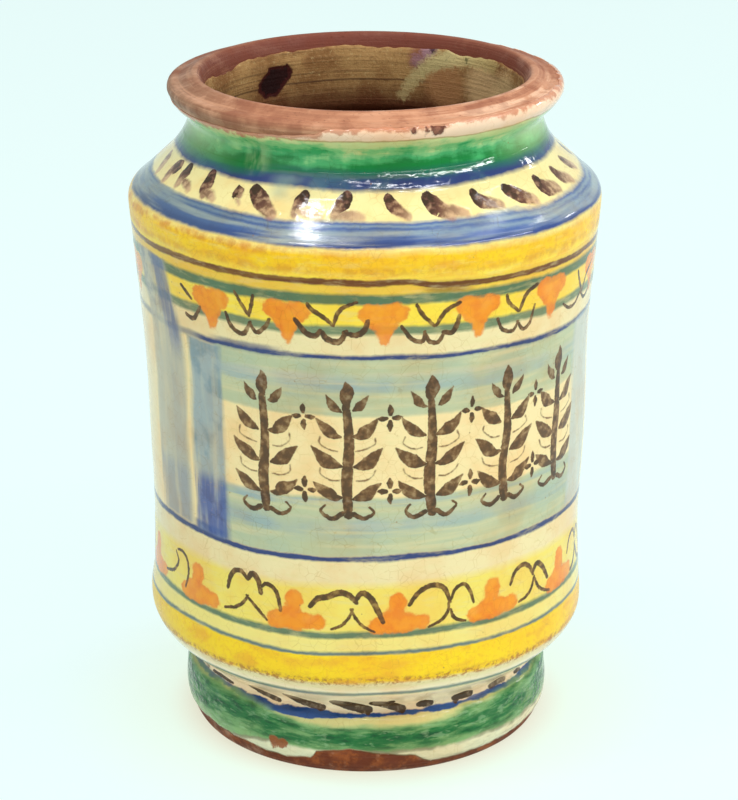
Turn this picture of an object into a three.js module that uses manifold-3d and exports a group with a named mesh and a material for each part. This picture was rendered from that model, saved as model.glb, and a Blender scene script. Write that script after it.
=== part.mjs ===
// Albarello: a wheel-thrown, waisted apothecary jar in tin-glazed earthenware.
// Millimetres, +Z up. The origin is the centre of the foot, on the surface the jar stands on.

import * as THREE from "three";
import { mergeVertices } from "three/addons/utils/BufferGeometryUtils.js";
import Module from "manifold-3d";

// Overall sizes. Heights are measured up from the standing surface,
// and drops are measured down from the crest of the lip.
const height = 230;

const restDiameter = 115;
const footDiameter = 124.6;
const footHeight = 18;
const ankleDiameter = 118;
const ankleHeight = 24.5;
const heelDiameter = 149;
const heelHeight = 43.5;
const waistDiameter = 146.6;
const waistHeight = 78;
const shoulderDiameter = 158;
const shoulderDrop = 43;
const shoulderRounding = 5.5;
const shoulderInset = 2.4;
const coveHeight = 12.5;
const coveWidth = 7;
const neckDiameter = 117;
const neckDrop = 14.8;
const lipDiameter = 131.8;
const lipDrop = 5;
const lipRollWidth = 3.6;
const crestWidth = 1.6;
const crestSlope = 2.2;

// Clay thickness, and the foot ring that is turned into the base.
const wall = 7;
const neckWall = 5.6;
const mouthFlare = 2.9;
const throatDrop = 9;
const floorThickness = 9;
const baseRecess = 3;
const footRingWidth = 9;
const innerFloorRadius = 30;

// Hollows that the potter's fingers leave up the inside of the wall.
const fingerRingPitch = 22;
const fingerRingDepth = 0.6;

// Glaze coats. The seat gap keeps each coat's facets clear of the clay that it covers.
const outerGlaze = 0.7;
const innerGlaze = 0.5;
const seatGap = 0.1;

// Where the outer coat stops: a wandering line above the foot's edge, with a bare patch in front,
// and a line on the lip that is worn lower on the left.
const footBare = 4.4;
const footWander = 1.2;
const barePatchRise = 7;
const barePatchAngle = -3;
const barePatchSpread = 15;
const lipBareDrop = 2.8;
const lipWornDrop = 8;
const lipWornAngle = -62;
const lipWornSpread = 52;
const lipWander = 0.35;
const liningDrop = 4.5;
const liningWander = 0.8;

// Places where the coats have come away. Angles run round from the front, towards +X.
const lipChips = [
  { angle: 13.5, drop: 4.3, radius: 1.6 },
  { angle: 20.5, drop: 4, radius: 2.6 },
];
const footChip = { angle: -28.5, height: 10.7, radius: 3 };
const liningScar = { angle: 217, drop: 14.5, radius: 7 };
const flakeRoundness = 1.6;

// Facets round the jar, and round the foot's wandering edge of glaze.
const segments = 40;
const footEdgeSegments = 2 * segments;

// How far the tools that cut the coats stand out past the clay.
const cutterReach = 10;
const degree = Math.PI / 180;

const wasm = await Module();
wasm.setup();

// A solid of revolution about Z, from a closed outline of (radius, height) points.
function revolve(outline, facets = segments) {
  return new THREE.LatheGeometry(outline, facets).rotateX(Math.PI / 2);
}

function solidOf(geometry) {
  const bare = geometry.clone();
  bare.deleteAttribute("normal");
  bare.deleteAttribute("uv");
  const merged = mergeVertices(bare, 1e-3);
  return new wasm.Manifold(
    new wasm.Mesh({
      numProp: 3,
      vertProperties: merged.attributes.position.array,
      triVerts: new Uint32Array(merged.index.array),
    }),
  );
}

function geometryOf(solid) {
  const mesh = solid.getMesh();
  return new THREE.BufferGeometry()
    .setAttribute("position", new THREE.BufferAttribute(mesh.vertProperties, 3))
    .setIndex(new THREE.BufferAttribute(mesh.triVerts, 1));
}

// Points along a run of curves, each with the sideways direction that leads out of the clay
// when the run climbs the outside or comes down the inside.
function stations(curves, counts) {
  const list = [];
  curves.forEach((curve, index) => {
    const count = counts[index];
    for (let step = index === 0 ? 0 : 1; step <= count; step += 1) {
      const along = step / count;
      const tangent = curve.getTangent(along);
      list.push({
        point: curve.getPoint(along),
        outward: new THREE.Vector2(tangent.y, -tangent.x),
      });
    }
  });
  return list;
}

function offset(list, distance) {
  return list.map(({ point, outward }) => point.clone().addScaledVector(outward, distance));
}

// A coat of even thickness on a run of stations, as a closed outline.
function coat(list, thickness) {
  const under = offset(list, seatGap);
  const over = offset(list, seatGap + thickness);
  return [...under.reverse(), ...over, under[0].clone()];
}

const at = (radius, z) => new THREE.Vector2(radius, z);
const between = (start, end, outward, upward) =>
  at(THREE.MathUtils.lerp(start.x, end.x, outward), THREE.MathUtils.lerp(start.y, end.y, upward));
const bend = (...points) => new THREE.CubicBezierCurve(...points);
const round = (...points) => new THREE.QuadraticBezierCurve(...points);
const straight = (...points) => new THREE.LineCurve(...points);

// The outside, as one flowing line from the edge of the foot to the crest of the lip.
const rest = at(restDiameter / 2, 0);
const foot = at(footDiameter / 2, footHeight);
const ankle = at(ankleDiameter / 2, ankleHeight);
const heel = at(heelDiameter / 2, heelHeight);
const waist = at(waistDiameter / 2, waistHeight);
const shoulder = at(shoulderDiameter / 2, height - shoulderDrop);
const neck = at(neckDiameter / 2, height - neckDrop);
const lip = at(lipDiameter / 2, height - lipDrop);
const mouthEdge = at(neck.x - neckWall + mouthFlare, height);
const crestOuter = at(mouthEdge.x + crestWidth, height);
const shoulderTop = at(shoulder.x - shoulderInset, shoulder.y + shoulderRounding);
const neckRoot = at(neck.x + coveWidth, neck.y - coveHeight);
const lipTop = at(lip.x - lipRollWidth, height - crestSlope);

const outsideFoot = [
  round(rest, between(rest, foot, 0.92, 0.15), foot),
  bend(foot, between(foot, ankle, 0, 0.85), between(foot, ankle, 1, 0.3), ankle),
];
const outsideBody = [
  bend(ankle, between(ankle, heel, 0, 0.18), between(ankle, heel, 1, 0.5), heel),
  bend(heel, between(heel, waist, 0, 0.17), between(heel, waist, 1, 0.42), waist),
  bend(waist, between(waist, shoulder, 0, 0.45), between(waist, shoulder, 0.6, 0.76), shoulder),
];
const outsideTop = [
  round(shoulder, between(shoulder, shoulderTop, -0.15, 0.75), shoulderTop),
  straight(shoulderTop, neckRoot),
  bend(neckRoot, between(neckRoot, neck, 0.5, 0.32), between(neckRoot, neck, 0.93, 0.68), neck),
  bend(neck, between(neck, lip, 0, 0.39), between(neck, lip, 0.73, 0.49), lip),
];
const outsideLip = [round(lip, between(lip, lipTop, -0.06, 1.2), lipTop), straight(lipTop, crestOuter)];

// The inside, from the crest of the lip down to the middle of the floor.
const bore = neck.x - neckWall;
const throat = at(bore, height - throatDrop);
const boreFoot = at(bore, neckRoot.y + wall * 0.4);
const innerShoulder = at(shoulder.x - wall, shoulder.y - wall * 0.2);
const floorTop = baseRecess + floorThickness;
const innerHeel = at(heel.x - wall, heel.y + wall * 0.6);
const innerAnkle = at(ankle.x - wall, ankle.y + wall * 0.3);
const floorEdge = at(innerFloorRadius, floorTop);

const insideNeck = [
  round(mouthEdge, between(mouthEdge, throat, 0.8, 0.2), throat),
  straight(throat, boreFoot),
  bend(
    boreFoot,
    between(boreFoot, innerShoulder, 0, 0.3),
    between(boreFoot, innerShoulder, 1, 0.75),
    innerShoulder,
  ),
];
const insideFloor = [
  bend(
    innerHeel,
    between(innerHeel, innerAnkle, 0.02, 0.5),
    between(innerHeel, innerAnkle, 0.62, 0.73),
    innerAnkle,
  ),
  round(innerAnkle, between(innerAnkle, floorEdge, 0.55, 0.95), floorEdge),
];

// The drawn-up part of the inside wall keeps the wall's thickness behind the outside,
// less the hollow of each finger ring.
function drawnWall() {
  const [, lower, upper] = outsideBody;
  const climb = new THREE.CurvePath();
  climb.add(lower);
  climb.add(upper);
  const rings = Math.max(1, Math.round((innerShoulder.y - innerHeel.y) / fingerRingPitch));
  const steps = rings * 3;
  const list = [];
  for (let step = 1; step < steps; step += 1) {
    const z = THREE.MathUtils.lerp(innerShoulder.y, innerHeel.y, step / steps);
    const outside = radiusAt(climb, z);
    const hollow = fingerRingDepth * Math.sin(((step % 3) / 3) * Math.PI);
    list.push({ point: at(outside - wall + hollow, z), outward: at(-1, 0) });
  }
  return list;
}

// The radius of a climbing run of curves at a height, found by halving.
function radiusAt(path, z) {
  let low = 0;
  let high = 1;
  for (let turn = 0; turn < 24; turn += 1) {
    const middle = (low + high) / 2;
    if (path.getPoint(middle).y < z) low = middle;
    else high = middle;
  }
  return path.getPoint(high).x;
}

const footStations = stations(outsideFoot, [3, 3]);
const bodyStations = stations(outsideBody, [4, 2, 3]).slice(1);
const topStations = stations(outsideTop, [2, 1, 2, 3]).slice(1);
const lipStations = stations(outsideLip, [2, 1]).slice(1);
const neckStations = stations(insideNeck, [2, 1, 3]);
const floorStations = [...stations(insideFloor, [3, 2]), { point: at(0, floorTop), outward: at(0, 1) }];
const insideStations = [...neckStations, ...drawnWall(), ...floorStations];

// Clay body: foot ring, recessed base, waisted wall, sloping shoulder, cove and everted lip.
function clayBody() {
  const ringInner = restDiameter / 2 - footRingWidth;
  const recess = [at(0, baseRecess), at(ringInner - baseRecess, baseRecess), at(ringInner, 0)];
  const outside = [...footStations, ...bodyStations, ...topStations, ...lipStations];
  return revolve([
    ...recess,
    ...outside.map(({ point }) => point),
    ...insideStations.map(({ point }) => point),
  ]);
}

// A ring-shaped cutter that holds everything on one side of a height that wanders round the jar.
function wanderingCutter(inner, outer, far, edgeAt, facets = segments) {
  const ring = revolve(
    [at(inner, -1), at(outer, -1), at(outer, 1), at(inner, 1), at(inner, -1)],
    facets,
  );
  const places = ring.attributes.position;
  for (let index = 0; index < places.count; index += 1) {
    const angle = Math.atan2(places.getX(index), -places.getY(index)) / degree;
    const onTop = places.getZ(index) > 0;
    const edge = edgeAt(angle);
    const above = far > edge;
    places.setZ(index, onTop === above ? far : edge);
  }
  return solidOf(ring);
}

// A flat-topped hump that is 1 round its middle angle and falls away to each side.
function hump(angle, middle, spread) {
  const away = THREE.MathUtils.euclideanModulo(angle - middle + 180, 360) - 180;
  return Math.exp(-((away / spread) ** 4));
}

function wander(angle, size) {
  const turn = angle * degree;
  return size * (Math.sin(3 * turn + 1) * 0.45 + Math.sin(5 * turn) * 0.3 + Math.sin(8 * turn + 2) * 0.25);
}

const footEdge = (angle) =>
  footBare + wander(angle, footWander) + barePatchRise * hump(angle, barePatchAngle, barePatchSpread);
const lipEdge = (angle) =>
  height -
  THREE.MathUtils.lerp(lipBareDrop, lipWornDrop, hump(angle, lipWornAngle, lipWornSpread)) +
  wander(angle, lipWander);
const liningEdge = (angle) => height - liningDrop + wander(angle, liningWander);

// A shallow round flake out of the outside at an angle and a height, cut by a ball that stands off.
function flake(run, angle, z, radius) {
  const ballRadius = radius * flakeRoundness;
  const standOff = Math.sqrt(ballRadius ** 2 - radius ** 2);
  const ball = new THREE.SphereGeometry(ballRadius, 12, 8);
  ball.translate(0, -radiusAt(run, z) - standOff, z);
  ball.rotateZ(angle * degree);
  return solidOf(ball);
}

function lipFlakes() {
  const lipRun = new THREE.CurvePath();
  outsideTop.slice(3).forEach((curve) => lipRun.add(curve));
  outsideLip.slice(0, 1).forEach((curve) => lipRun.add(curve));
  return lipChips.map(({ angle, drop, radius }) => flake(lipRun, angle, height - drop, radius));
}

function footFlake() {
  const footRun = new THREE.CurvePath();
  outsideFoot.forEach((curve) => footRun.add(curve));
  return flake(footRun, footChip.angle, footChip.height, footChip.radius);
}

const flakes = [...lipFlakes(), footFlake()];

// Outer coat: tin glaze from the lip's rolled edge to just above the bare edge of the foot.
function outerCoat() {
  const covered = [...footStations, ...bodyStations, ...topStations, ...lipStations.slice(0, 2)];
  const whole = solidOf(revolve(coat(covered.slice(1), outerGlaze)));
  const cuts = [
    wanderingCutter(rest.x - cutterReach, foot.x + cutterReach, -cutterReach, footEdge, footEdgeSegments),
    wanderingCutter(bore, lip.x + cutterReach, height + cutterReach, lipEdge),
    ...flakes,
  ];
  return geometryOf(cuts.reduce((left, cut) => left.subtract(cut), whole));
}

// Lining: a thinner coat from the throat down over the floor, with one spot broken away.
function innerCoat() {
  const whole = solidOf(revolve(coat(insideStations, innerGlaze)));
  const scar = new THREE.CylinderGeometry(liningScar.radius, liningScar.radius, 12, 6);
  scar.translate(0, -bore, 0);
  scar.rotateZ(liningScar.angle * degree);
  scar.translate(0, 0, height - liningScar.drop);
  const reach = mouthEdge.x + cutterReach;
  const top = wanderingCutter(bore - cutterReach, reach, height + cutterReach, liningEdge);
  return geometryOf(whole.subtract(top).subtract(solidOf(scar)));
}

function piece(name, geometry, colour, roughness) {
  const material = new THREE.MeshStandardMaterial({ color: colour, roughness, metalness: 0 });
  const mesh = new THREE.Mesh(geometry, material);
  mesh.name = name;
  return mesh;
}

const chippedClay = flakes.reduce((left, cut) => left.subtract(cut), solidOf(clayBody()));

const group = new THREE.Group();
group.add(piece("clay_body", geometryOf(chippedClay), "#8f5b45", 0.9));
group.add(piece("outer_glaze", outerCoat(), "#e6dfc4", 0.15));
group.add(piece("inner_glaze", innerCoat(), "#9c8a5e", 0.55));

export default group;
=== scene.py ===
# %% [markdown]
# A painted apothecary jar
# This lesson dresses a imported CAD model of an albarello: a thrown, waisted jar of red clay under a
# white tin glaze, painted in green, blue, yellow, orange and brown. The CAD model gives the form in
# plain facets. Here each of its three pieces gets a finer twin in the same place, the painter's
# brush strokes are laid on the glaze, and every surface gets a procedural material.

from math import acos, atan2, cos, degrees, exp, hypot, log, pi, radians, sin

import bmesh
import bpy
import numpy as np
from mathutils import Matrix, Vector, noise
from mathutils.geometry import interpolate_bezier


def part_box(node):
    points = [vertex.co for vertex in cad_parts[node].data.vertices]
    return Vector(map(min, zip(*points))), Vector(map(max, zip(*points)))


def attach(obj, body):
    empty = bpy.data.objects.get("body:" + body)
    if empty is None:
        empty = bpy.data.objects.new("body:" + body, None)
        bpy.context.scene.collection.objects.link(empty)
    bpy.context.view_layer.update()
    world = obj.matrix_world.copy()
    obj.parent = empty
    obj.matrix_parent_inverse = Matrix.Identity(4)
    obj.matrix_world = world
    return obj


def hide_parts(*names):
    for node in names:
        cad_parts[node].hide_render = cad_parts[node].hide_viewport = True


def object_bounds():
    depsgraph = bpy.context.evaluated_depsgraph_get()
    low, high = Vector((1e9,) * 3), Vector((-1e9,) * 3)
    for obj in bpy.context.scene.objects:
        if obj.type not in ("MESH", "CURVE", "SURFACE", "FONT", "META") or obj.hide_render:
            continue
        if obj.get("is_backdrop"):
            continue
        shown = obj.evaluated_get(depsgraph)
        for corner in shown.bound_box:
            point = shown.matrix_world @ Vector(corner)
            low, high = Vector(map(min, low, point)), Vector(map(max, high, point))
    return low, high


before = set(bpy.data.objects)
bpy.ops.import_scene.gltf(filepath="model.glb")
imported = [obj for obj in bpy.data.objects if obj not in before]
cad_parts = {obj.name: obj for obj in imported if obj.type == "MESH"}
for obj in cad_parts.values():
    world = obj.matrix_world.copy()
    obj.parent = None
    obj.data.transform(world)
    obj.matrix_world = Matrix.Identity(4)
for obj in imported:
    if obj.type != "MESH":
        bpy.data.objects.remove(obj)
cad_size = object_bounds()
MM = 0.001
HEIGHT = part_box("clay_body")[1].z / MM
print("CAD nodes:", ", ".join(sorted(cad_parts)), "height", round(HEIGHT, 1), "mm")

# %% [markdown]
# The camera
# The jar is seen from the front and above with a long lens. A long lens stands well back, so the
# bands stay nearly parallel and the mouth reads as a calm ellipse. The numbers come from fitting a
# camera to the rims and the painted rings, which works because every ring on a thrown jar is a
# true circle whose size is known.

# %% Camera
LENS, TILT_DOWN, LEAN = 131.16, 19.929, -0.213
STAND = (0.00108, -0.948433, 0.456891)


def place_camera():
    lens = bpy.data.cameras.new("jar_camera")
    lens.lens = LENS
    lens.clip_start = 0.05
    lens.clip_end = 50
    camera = bpy.data.objects.new("jar_camera", lens)
    bpy.context.collection.objects.link(camera)
    tilt = Matrix.Rotation(radians(90 - TILT_DOWN), 4, "X")
    lean = Matrix.Rotation(radians(LEAN), 4, "Z")
    camera.matrix_world = Matrix.Translation(STAND) @ tilt @ lean
    bpy.context.scene.camera = camera
    return camera


camera = place_camera()
print("camera at", [round(v, 3) for v in camera.location], "lens", round(camera.data.lens, 2))

# %% [markdown]
# The line of the wall
# A thrown jar is one line turned round an axis. The line could be typed as a long list of points,
# but a potter thinks of it as a few marks joined by sweeps: foot, ankle, heel, waist, shoulder,
# neck and lip. Bezier curves keep that idea. Each curve below runs between two marks, and its
# handles say how the wall leaves one mark and reaches the next. All sizes are in millimetres.

# %% Marks on the outside and inside
WALL = 7.0
rest, foot = (57.5, 0.0), (62.3, 18.0)
ankle, heel = (59.0, 24.5), (74.5, 43.5)
waist, shoulder = (73.3, 78.0), (79.0, HEIGHT - 43)
shoulder_top, neck_root = (76.6, HEIGHT - 37.5), (65.5, HEIGHT - 27.3)
neck, lip = (58.5, HEIGHT - 14.8), (65.9, HEIGHT - 5)
lip_top, crest = (62.3, HEIGHT - 2.2), (57.4, HEIGHT)
mouth_edge, throat = (55.8, HEIGHT), (52.9, HEIGHT - 9)
bore_foot, inner_shoulder = (52.9, HEIGHT - 24.5), (72.0, HEIGHT - 44.4)
inner_heel, inner_ankle = (67.5, 47.7), (52.0, 26.6)
floor_edge = (30.0, 12.0)


def between(start, end, outward, upward):
    return start[0] + (end[0] - start[0]) * outward, start[1] + (end[1] - start[1]) * upward


def sweep(start, leave, reach, end, count):
    points = interpolate_bezier(*(Vector((r, 0, z)) for r, z in (start, leave, reach, end)), count)
    return [(p.x, p.z) for p in points]


def soft_corner(start, middle, end, count):
    leave = between(start, middle, 2 / 3, 2 / 3)
    reach = between(end, middle, 2 / 3, 2 / 3)
    return sweep(start, leave, reach, end, count)


outside = (
    soft_corner(rest, between(rest, foot, 0.92, 0.15), foot, 60)
    + sweep(foot, between(foot, ankle, 0, 0.85), between(foot, ankle, 1, 0.3), ankle, 60)
    + sweep(ankle, between(ankle, heel, 0, 0.18), between(ankle, heel, 1, 0.5), heel, 80)
    + sweep(heel, between(heel, waist, 0, 0.17), between(heel, waist, 1, 0.42), waist, 80)
    + sweep(waist, between(waist, shoulder, 0, 0.45), between(waist, shoulder, 0.6, 0.76), shoulder, 200)
    + soft_corner(shoulder, between(shoulder, shoulder_top, -0.15, 0.75), shoulder_top, 60)
    + [shoulder_top, neck_root]
    + sweep(neck_root, between(neck_root, neck, 0.5, 0.32), between(neck_root, neck, 0.93, 0.68), neck, 80)
    + sweep(neck, between(neck, lip, 0, 0.39), between(neck, lip, 0.73, 0.49), lip, 80)
    + soft_corner(lip, between(lip, lip_top, -0.06, 1.2), lip_top, 60)
    + [crest]
)
inside_low = (
    soft_corner(floor_edge, between(inner_ankle, floor_edge, 0.55, 0.95), inner_ankle, 60)
    + sweep(
        inner_ankle,
        between(inner_heel, inner_ankle, 0.62, 0.73),
        between(inner_heel, inner_ankle, 0.02, 0.5),
        inner_heel,
        60,
    )
)
inside_high = (
    sweep(
        inner_shoulder,
        between(bore_foot, inner_shoulder, 1, 0.75),
        between(bore_foot, inner_shoulder, 0, 0.3),
        bore_foot,
        60,
    )
    + [bore_foot, throat]
    + soft_corner(throat, between(mouth_edge, throat, 0.8, 0.2), mouth_edge, 40)
)
print("outside line", len(outside), "points, widest", max(r for r, z in outside), "mm")

# %% [markdown]
# Reading the line at any height
# Every later step asks how wide the wall is at some height: the glaze coats, the ragged edges and
# the brush strokes all sit on it. One could cast rays at a mesh, but the wall never turns back on
# itself, so a plain interpolation along the line answers at once and stays smooth.

# %% Radius by height
FINGER_PITCH, FINGER_DEPTH = 23.1, 0.6


def drawn_wall(z):
    rings = FINGER_DEPTH * 0.5 * (1 - np.cos(2 * pi * (z - inner_heel[1]) / FINGER_PITCH))
    return outside_radius(z) - WALL + rings


def line_reader(points):
    heights = np.array([z for r, z in points])
    widths = np.array([r for r, z in points])
    rising = np.concatenate(([True], np.diff(heights) > 1e-6))
    return lambda z: np.interp(z, heights[rising], widths[rising])


outside_radius = line_reader(outside)
wall_heights = np.linspace(inner_heel[1] + 2, inner_shoulder[1] - 2, 60)
inside = inside_low + [(float(drawn_wall(z)), float(z)) for z in wall_heights] + inside_high
inside_radius = line_reader(inside)
print("wall at the waist", round(float(outside_radius(78) - inside_radius(78)), 2), "mm")

# %% [markdown]
# The hand in the form
# A lathe in a computer turns a perfect round, and a potter doesn't. The wall wavers by a few
# tenths of a millimetre and carries faint rings where the fingers climbed. The drift below is one
# smooth noise read at a point's own place, so clay, glaze and brush strokes all move together. The
# noise only moves inwards, and the few swells lie where the jar is narrow, so the jar stays inside
# its CAD size.

# %% Drift of the thrown wall
FLARE, FLARE_TOP = 1.6, 17
SWELLS = (
    (-80, 16, 45, 14, 1.0), (-85, 48, 50, 9, 0.8), (85, 108, 48, 40, 1.3), (-60, 105, 60, 30, 0.4),
    (85, 215, 50, 9, 0.6),
)


def drift(angle, z):
    spot = Vector((1.4 * sin(angle), 1.4 * cos(angle), z / 55.0))
    slow = noise.noise(spot) * 0.5 + 0.5
    rings = noise.noise(Vector((0.35 * sin(angle), 0.35 * cos(angle), z / 4.2 + 9))) * 0.5 + 0.5
    calm = min(1.0, max(0.0, (z - 1.0) / 12.0)) * min(1.0, max(0.0, (HEIGHT - z) / 4.0))
    swell = 0.0
    for turn, height, wide, tall, amount in SWELLS:
        away = hypot(((degrees(angle) - turn + 180) % 360 - 180) / wide, (z - height) / tall)
        swell += amount * max(0.0, 1 - away * away) ** 2
    flare = FLARE * max(0.0, 1 - (z / FLARE_TOP) ** 2)
    return swell + flare - (0.22 * slow + 0.08 * rings) * calm


def angle_of(place):
    return atan2(place.x, -place.y)


def on_jar(angle, radius, z):
    wide = radius + drift(angle, z)
    return Vector((wide * sin(angle), -wide * cos(angle), z)) * MM


print("drift at the front of the waist", round(drift(0, 78), 3), "mm")

# %% [markdown]
# Turning a line into a body
# The spin operator does what the wheel does: it copies a line of vertices round the axis and
# skins the copies. With use_merge the last copy joins the first. Many steps are slow to spin, so
# the wheel turns in 48 coarse steps, and the edges that run round are then cut into seven or eight.
# Each point remembers the radius and height it was laid at, so it can be set back on the true
# round. Where the line touches the axis, doubled points are merged, and normals are made to face out.

# %% Spin helper
STEPS = 48


def spun(outline, cuts, closed=True):
    bm = bmesh.new()
    radius_of, height_of, skin_of = (
        bm.verts.layers.float.new(n) for n in ("laid_radius", "laid_height", "laid_skin")
    )
    corners = []
    for radius, height, skin in outline:
        corner = bm.verts.new((0, -radius * MM, height * MM))
        corner[radius_of], corner[height_of], corner[skin_of] = radius, height, skin
        corners.append(corner)
    edges = [bm.edges.new(pair) for pair in zip(corners, corners[1:])]
    if closed:
        edges.append(bm.edges.new((corners[-1], corners[0])))
    bmesh.ops.spin(
        bm, geom=corners + edges, cent=(0, 0, 0), axis=(0, 0, 1), angle=2 * pi, steps=STEPS, use_merge=True
    )
    bmesh.ops.remove_doubles(bm, verts=bm.verts, dist=1e-7)
    round_edges = []
    for edge in bm.edges:
        first, last = edge.verts
        turned_by = abs(sin(angle_of(first.co) - angle_of(last.co)))
        if turned_by > sin(pi / STEPS) and min(first[radius_of], last[radius_of]) > 0.01:
            round_edges.append(edge)
    bmesh.ops.subdivide_edges(bm, edges=round_edges, cuts=cuts, use_grid_fill=True)
    bmesh.ops.recalc_face_normals(bm, faces=bm.faces)
    return bm, radius_of, height_of, skin_of


def finished(bm, name, material=None):
    for face in bm.faces:
        face.smooth = True
    mesh = bpy.data.meshes.new(name)
    bm.to_mesh(mesh)
    bm.free()
    piece = bpy.data.objects.new(name, mesh)
    bpy.context.collection.objects.link(piece)
    if material:
        mesh.materials.append(material)
    print(name, len(mesh.vertices), "vertices", sum(len(p.vertices) - 2 for p in mesh.polygons), "triangles")
    return piece


def evenly(points, step):
    line = np.array(points)
    run = np.concatenate(([0], np.cumsum(np.hypot(*np.diff(line, axis=0).T))))
    count = max(2, int(round(run[-1] / step)) + 1)
    marks = np.linspace(0, run[-1], count)
    return list(zip(np.interp(marks, run, line[:, 0]), np.interp(marks, run, line[:, 1])))


# %% [markdown]
# The clay body
# The red clay shows at the worn lip, at the foot and wherever the glaze has flaked. The line is
# sampled finely in those places and coarsely where glaze hides it. Underneath, the foot is turned
# into a ring with a shallow recess, as on the CAD body.

# %% Clay body
def cut_line(points, low, high):
    return [(r, z) for r, z in points if low <= z <= high]


def clay_outline():
    under = [(0, 3.0), (20, 3.0), (40, 3.0), (45.5, 3.0), (46.6, 1.9), (48.5, 0.0), (53, 0.0)]
    low = evenly(cut_line(outside, 0, 27), 0.9)
    middle = evenly(cut_line(outside, 27.8, 213), 3.2)
    high = evenly(cut_line(outside, 214, HEIGHT), 0.6)
    mouth = evenly(cut_line(inside, HEIGHT - 17, HEIGHT)[::-1], 0.8)
    deep = evenly(cut_line(inside, 12, HEIGHT - 18)[::-1], 4.5)
    return [(r, z, 0.0) for r, z in under + low + middle + high + mouth + deep + [(15, 12.0), (0, 12.0)]]


def throw_clay():
    bm, radius_of, height_of, _ = spun(clay_outline(), 7, closed=False)
    for vertex in bm.verts:
        if vertex[radius_of] > 1:
            vertex.co = on_jar(angle_of(vertex.co), vertex[radius_of], vertex[height_of])
    return bm


clay_jar = finished(throw_clay(), "clay_jar")
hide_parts("clay_body")
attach(clay_jar, "root")

# %% [markdown]
# The edge of the glaze
# The glaze was brushed or poured while the jar stood on its wheel, and its foot edge runs up and
# down where drips stopped and where it has been wiped or has flaked. The edge is kept as a list
# of heights round the jar, in degrees from the front. A smooth noise roughens it, because a real
# edge is never a clean curve.

# %% Edge heights round the jar
FOOT_EDGE = (
    (-180, 4.5), (-120, 5.0), (-90, 6.0), (-73, 6.1), (-61, 6.2), (-52, 5.6), (-43, 5.4), (-38.5, 5.2),
    (-32.5, 4.4), (-26.5, 4.0), (-21, 4.7), (-17.5, 5.2), (-16, 8.3), (-6, 9.8), (0.5, 9.0), (6, 8.0),
    (10, 7.4), (15, 6.4), (18, 4.3), (20, 3.4), (30, 3.3), (42, 3.7), (55, 4.2), (64, 4.8), (75, 5.2),
    (90, 5.2), (120, 4.8), (180, 4.5),
)
LIP_EDGE = (
    (-180, 227), (-110, 225), (-75, 222.5), (-40, 222.3), (-25, 223), (-14, 224.5), (-10, 226.3),
    (0, 226.8), (20, 226.9), (40, 227.2), (60, 227.6), (80, 227.8), (120, 227.5), (180, 227),
)


def ragged_line(marks, seed):
    turns = np.arange(3600) / 10 - 180
    heights = np.interp(turns, *zip(*marks))
    for i, turn in enumerate(np.radians(turns)):
        spot = Vector((9 * sin(turn), 9 * cos(turn), seed))
        heights[i] += noise.noise(spot) * 0.5 + noise.noise(spot * 3.1) * 0.3
    return heights.tolist()


foot_line, lip_line = ragged_line(FOOT_EDGE, 2), ragged_line(LIP_EDGE, 7)


def edge_heights(angle):
    tenth = int(round(degrees(angle) * 10 + 1800)) % 3600
    return foot_line[tenth], lip_line[tenth]


def edge_gap(angle, z):
    low, high = edge_heights(angle)
    return max(-1.0, min(20.0, z - low, high - z))


print("glaze edges at the front, in mm:", [round(height, 1) for height in edge_heights(0)])

# %% [markdown]
# Orange flowers under the scallops
# Two bands carry orange fruit and half flowers, dabbed with a full brush before the brown lines
# were drawn. They could be separate meshes, but they are only stained glaze. Each is kept here as
# a distance field: a function that says how far inside the dab a point is, in millimetres. The
# glaze mesh and the strokes above it both store it, so that the colour agrees where they meet.

# %% Distance into the orange dabs
def into_ball(u, v, cu, cv, ru, rv):
    return (1 - hypot((u - cu) / ru, (v - cv) / rv)) * min(ru, rv)


def joined(*depths, soft=0.7):
    return soft * log(sum(exp(max(-9.0, min(9.0, depth)) / soft) for depth in depths))


FRUIT_RADIUS, FLOWER_RADIUS = 78, 73
UPPER_FRUIT = [-39.8, -18.9, 4.2, 27.4, 50.8] + [74.5 + 23.2 * i for i in range(10)]
LOWER_FLOWER = [-49.5, -18.5, 8.2, 34.7, 62.5] + [90 + 27.9 * i for i in range(8)]


def arc_from(angle, centre, radius):
    turn = (degrees(angle) - centre + 180) % 360 - 180
    return radians(turn) * radius


def orange_depth(angle, z):
    if 156 < z < 178:
        centre = min(UPPER_FRUIT, key=lambda c: abs(arc_from(angle, c, FRUIT_RADIUS)))
        u, lean = arc_from(angle, centre, FRUIT_RADIUS), 0.25 * sin(centre)
        parts = (
            into_ball(u, z, -3.7, 170.4 + lean, 4.4, 3.4), into_ball(u, z, 3.9, 170.3 - lean, 4.6, 3.3),
            into_ball(u, z, 0, 167.6, 5.0, 4.2), into_ball(u, z, 0.4, 163.2, 2.3, 4.2),
        )
        return joined(*parts)
    if 56 < z < 75:
        centre = min(LOWER_FLOWER, key=lambda c: abs(arc_from(angle, c, FLOWER_RADIUS)))
        u = arc_from(angle, centre, FLOWER_RADIUS)
        parts = (
            into_ball(u, z, -0.4, 68.7, 3.2, 3.9), into_ball(u, z, -6.8, 60.9, 3.6, 2.9),
            into_ball(u, z, -2.6, 63.2, 3.2, 2.8), into_ball(u, z, 2.2, 61.6, 4.6, 3.2),
            into_ball(u, z, 7.6, 61.6, 3.0, 2.7), into_ball(u, z, -1.5, 60.6, 5.0, 2.6),
        )
        return joined(*parts)
    return -5.0


print("orange at the front fruit", round(orange_depth(radians(4.5), 168), 2), "mm deep")

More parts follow.
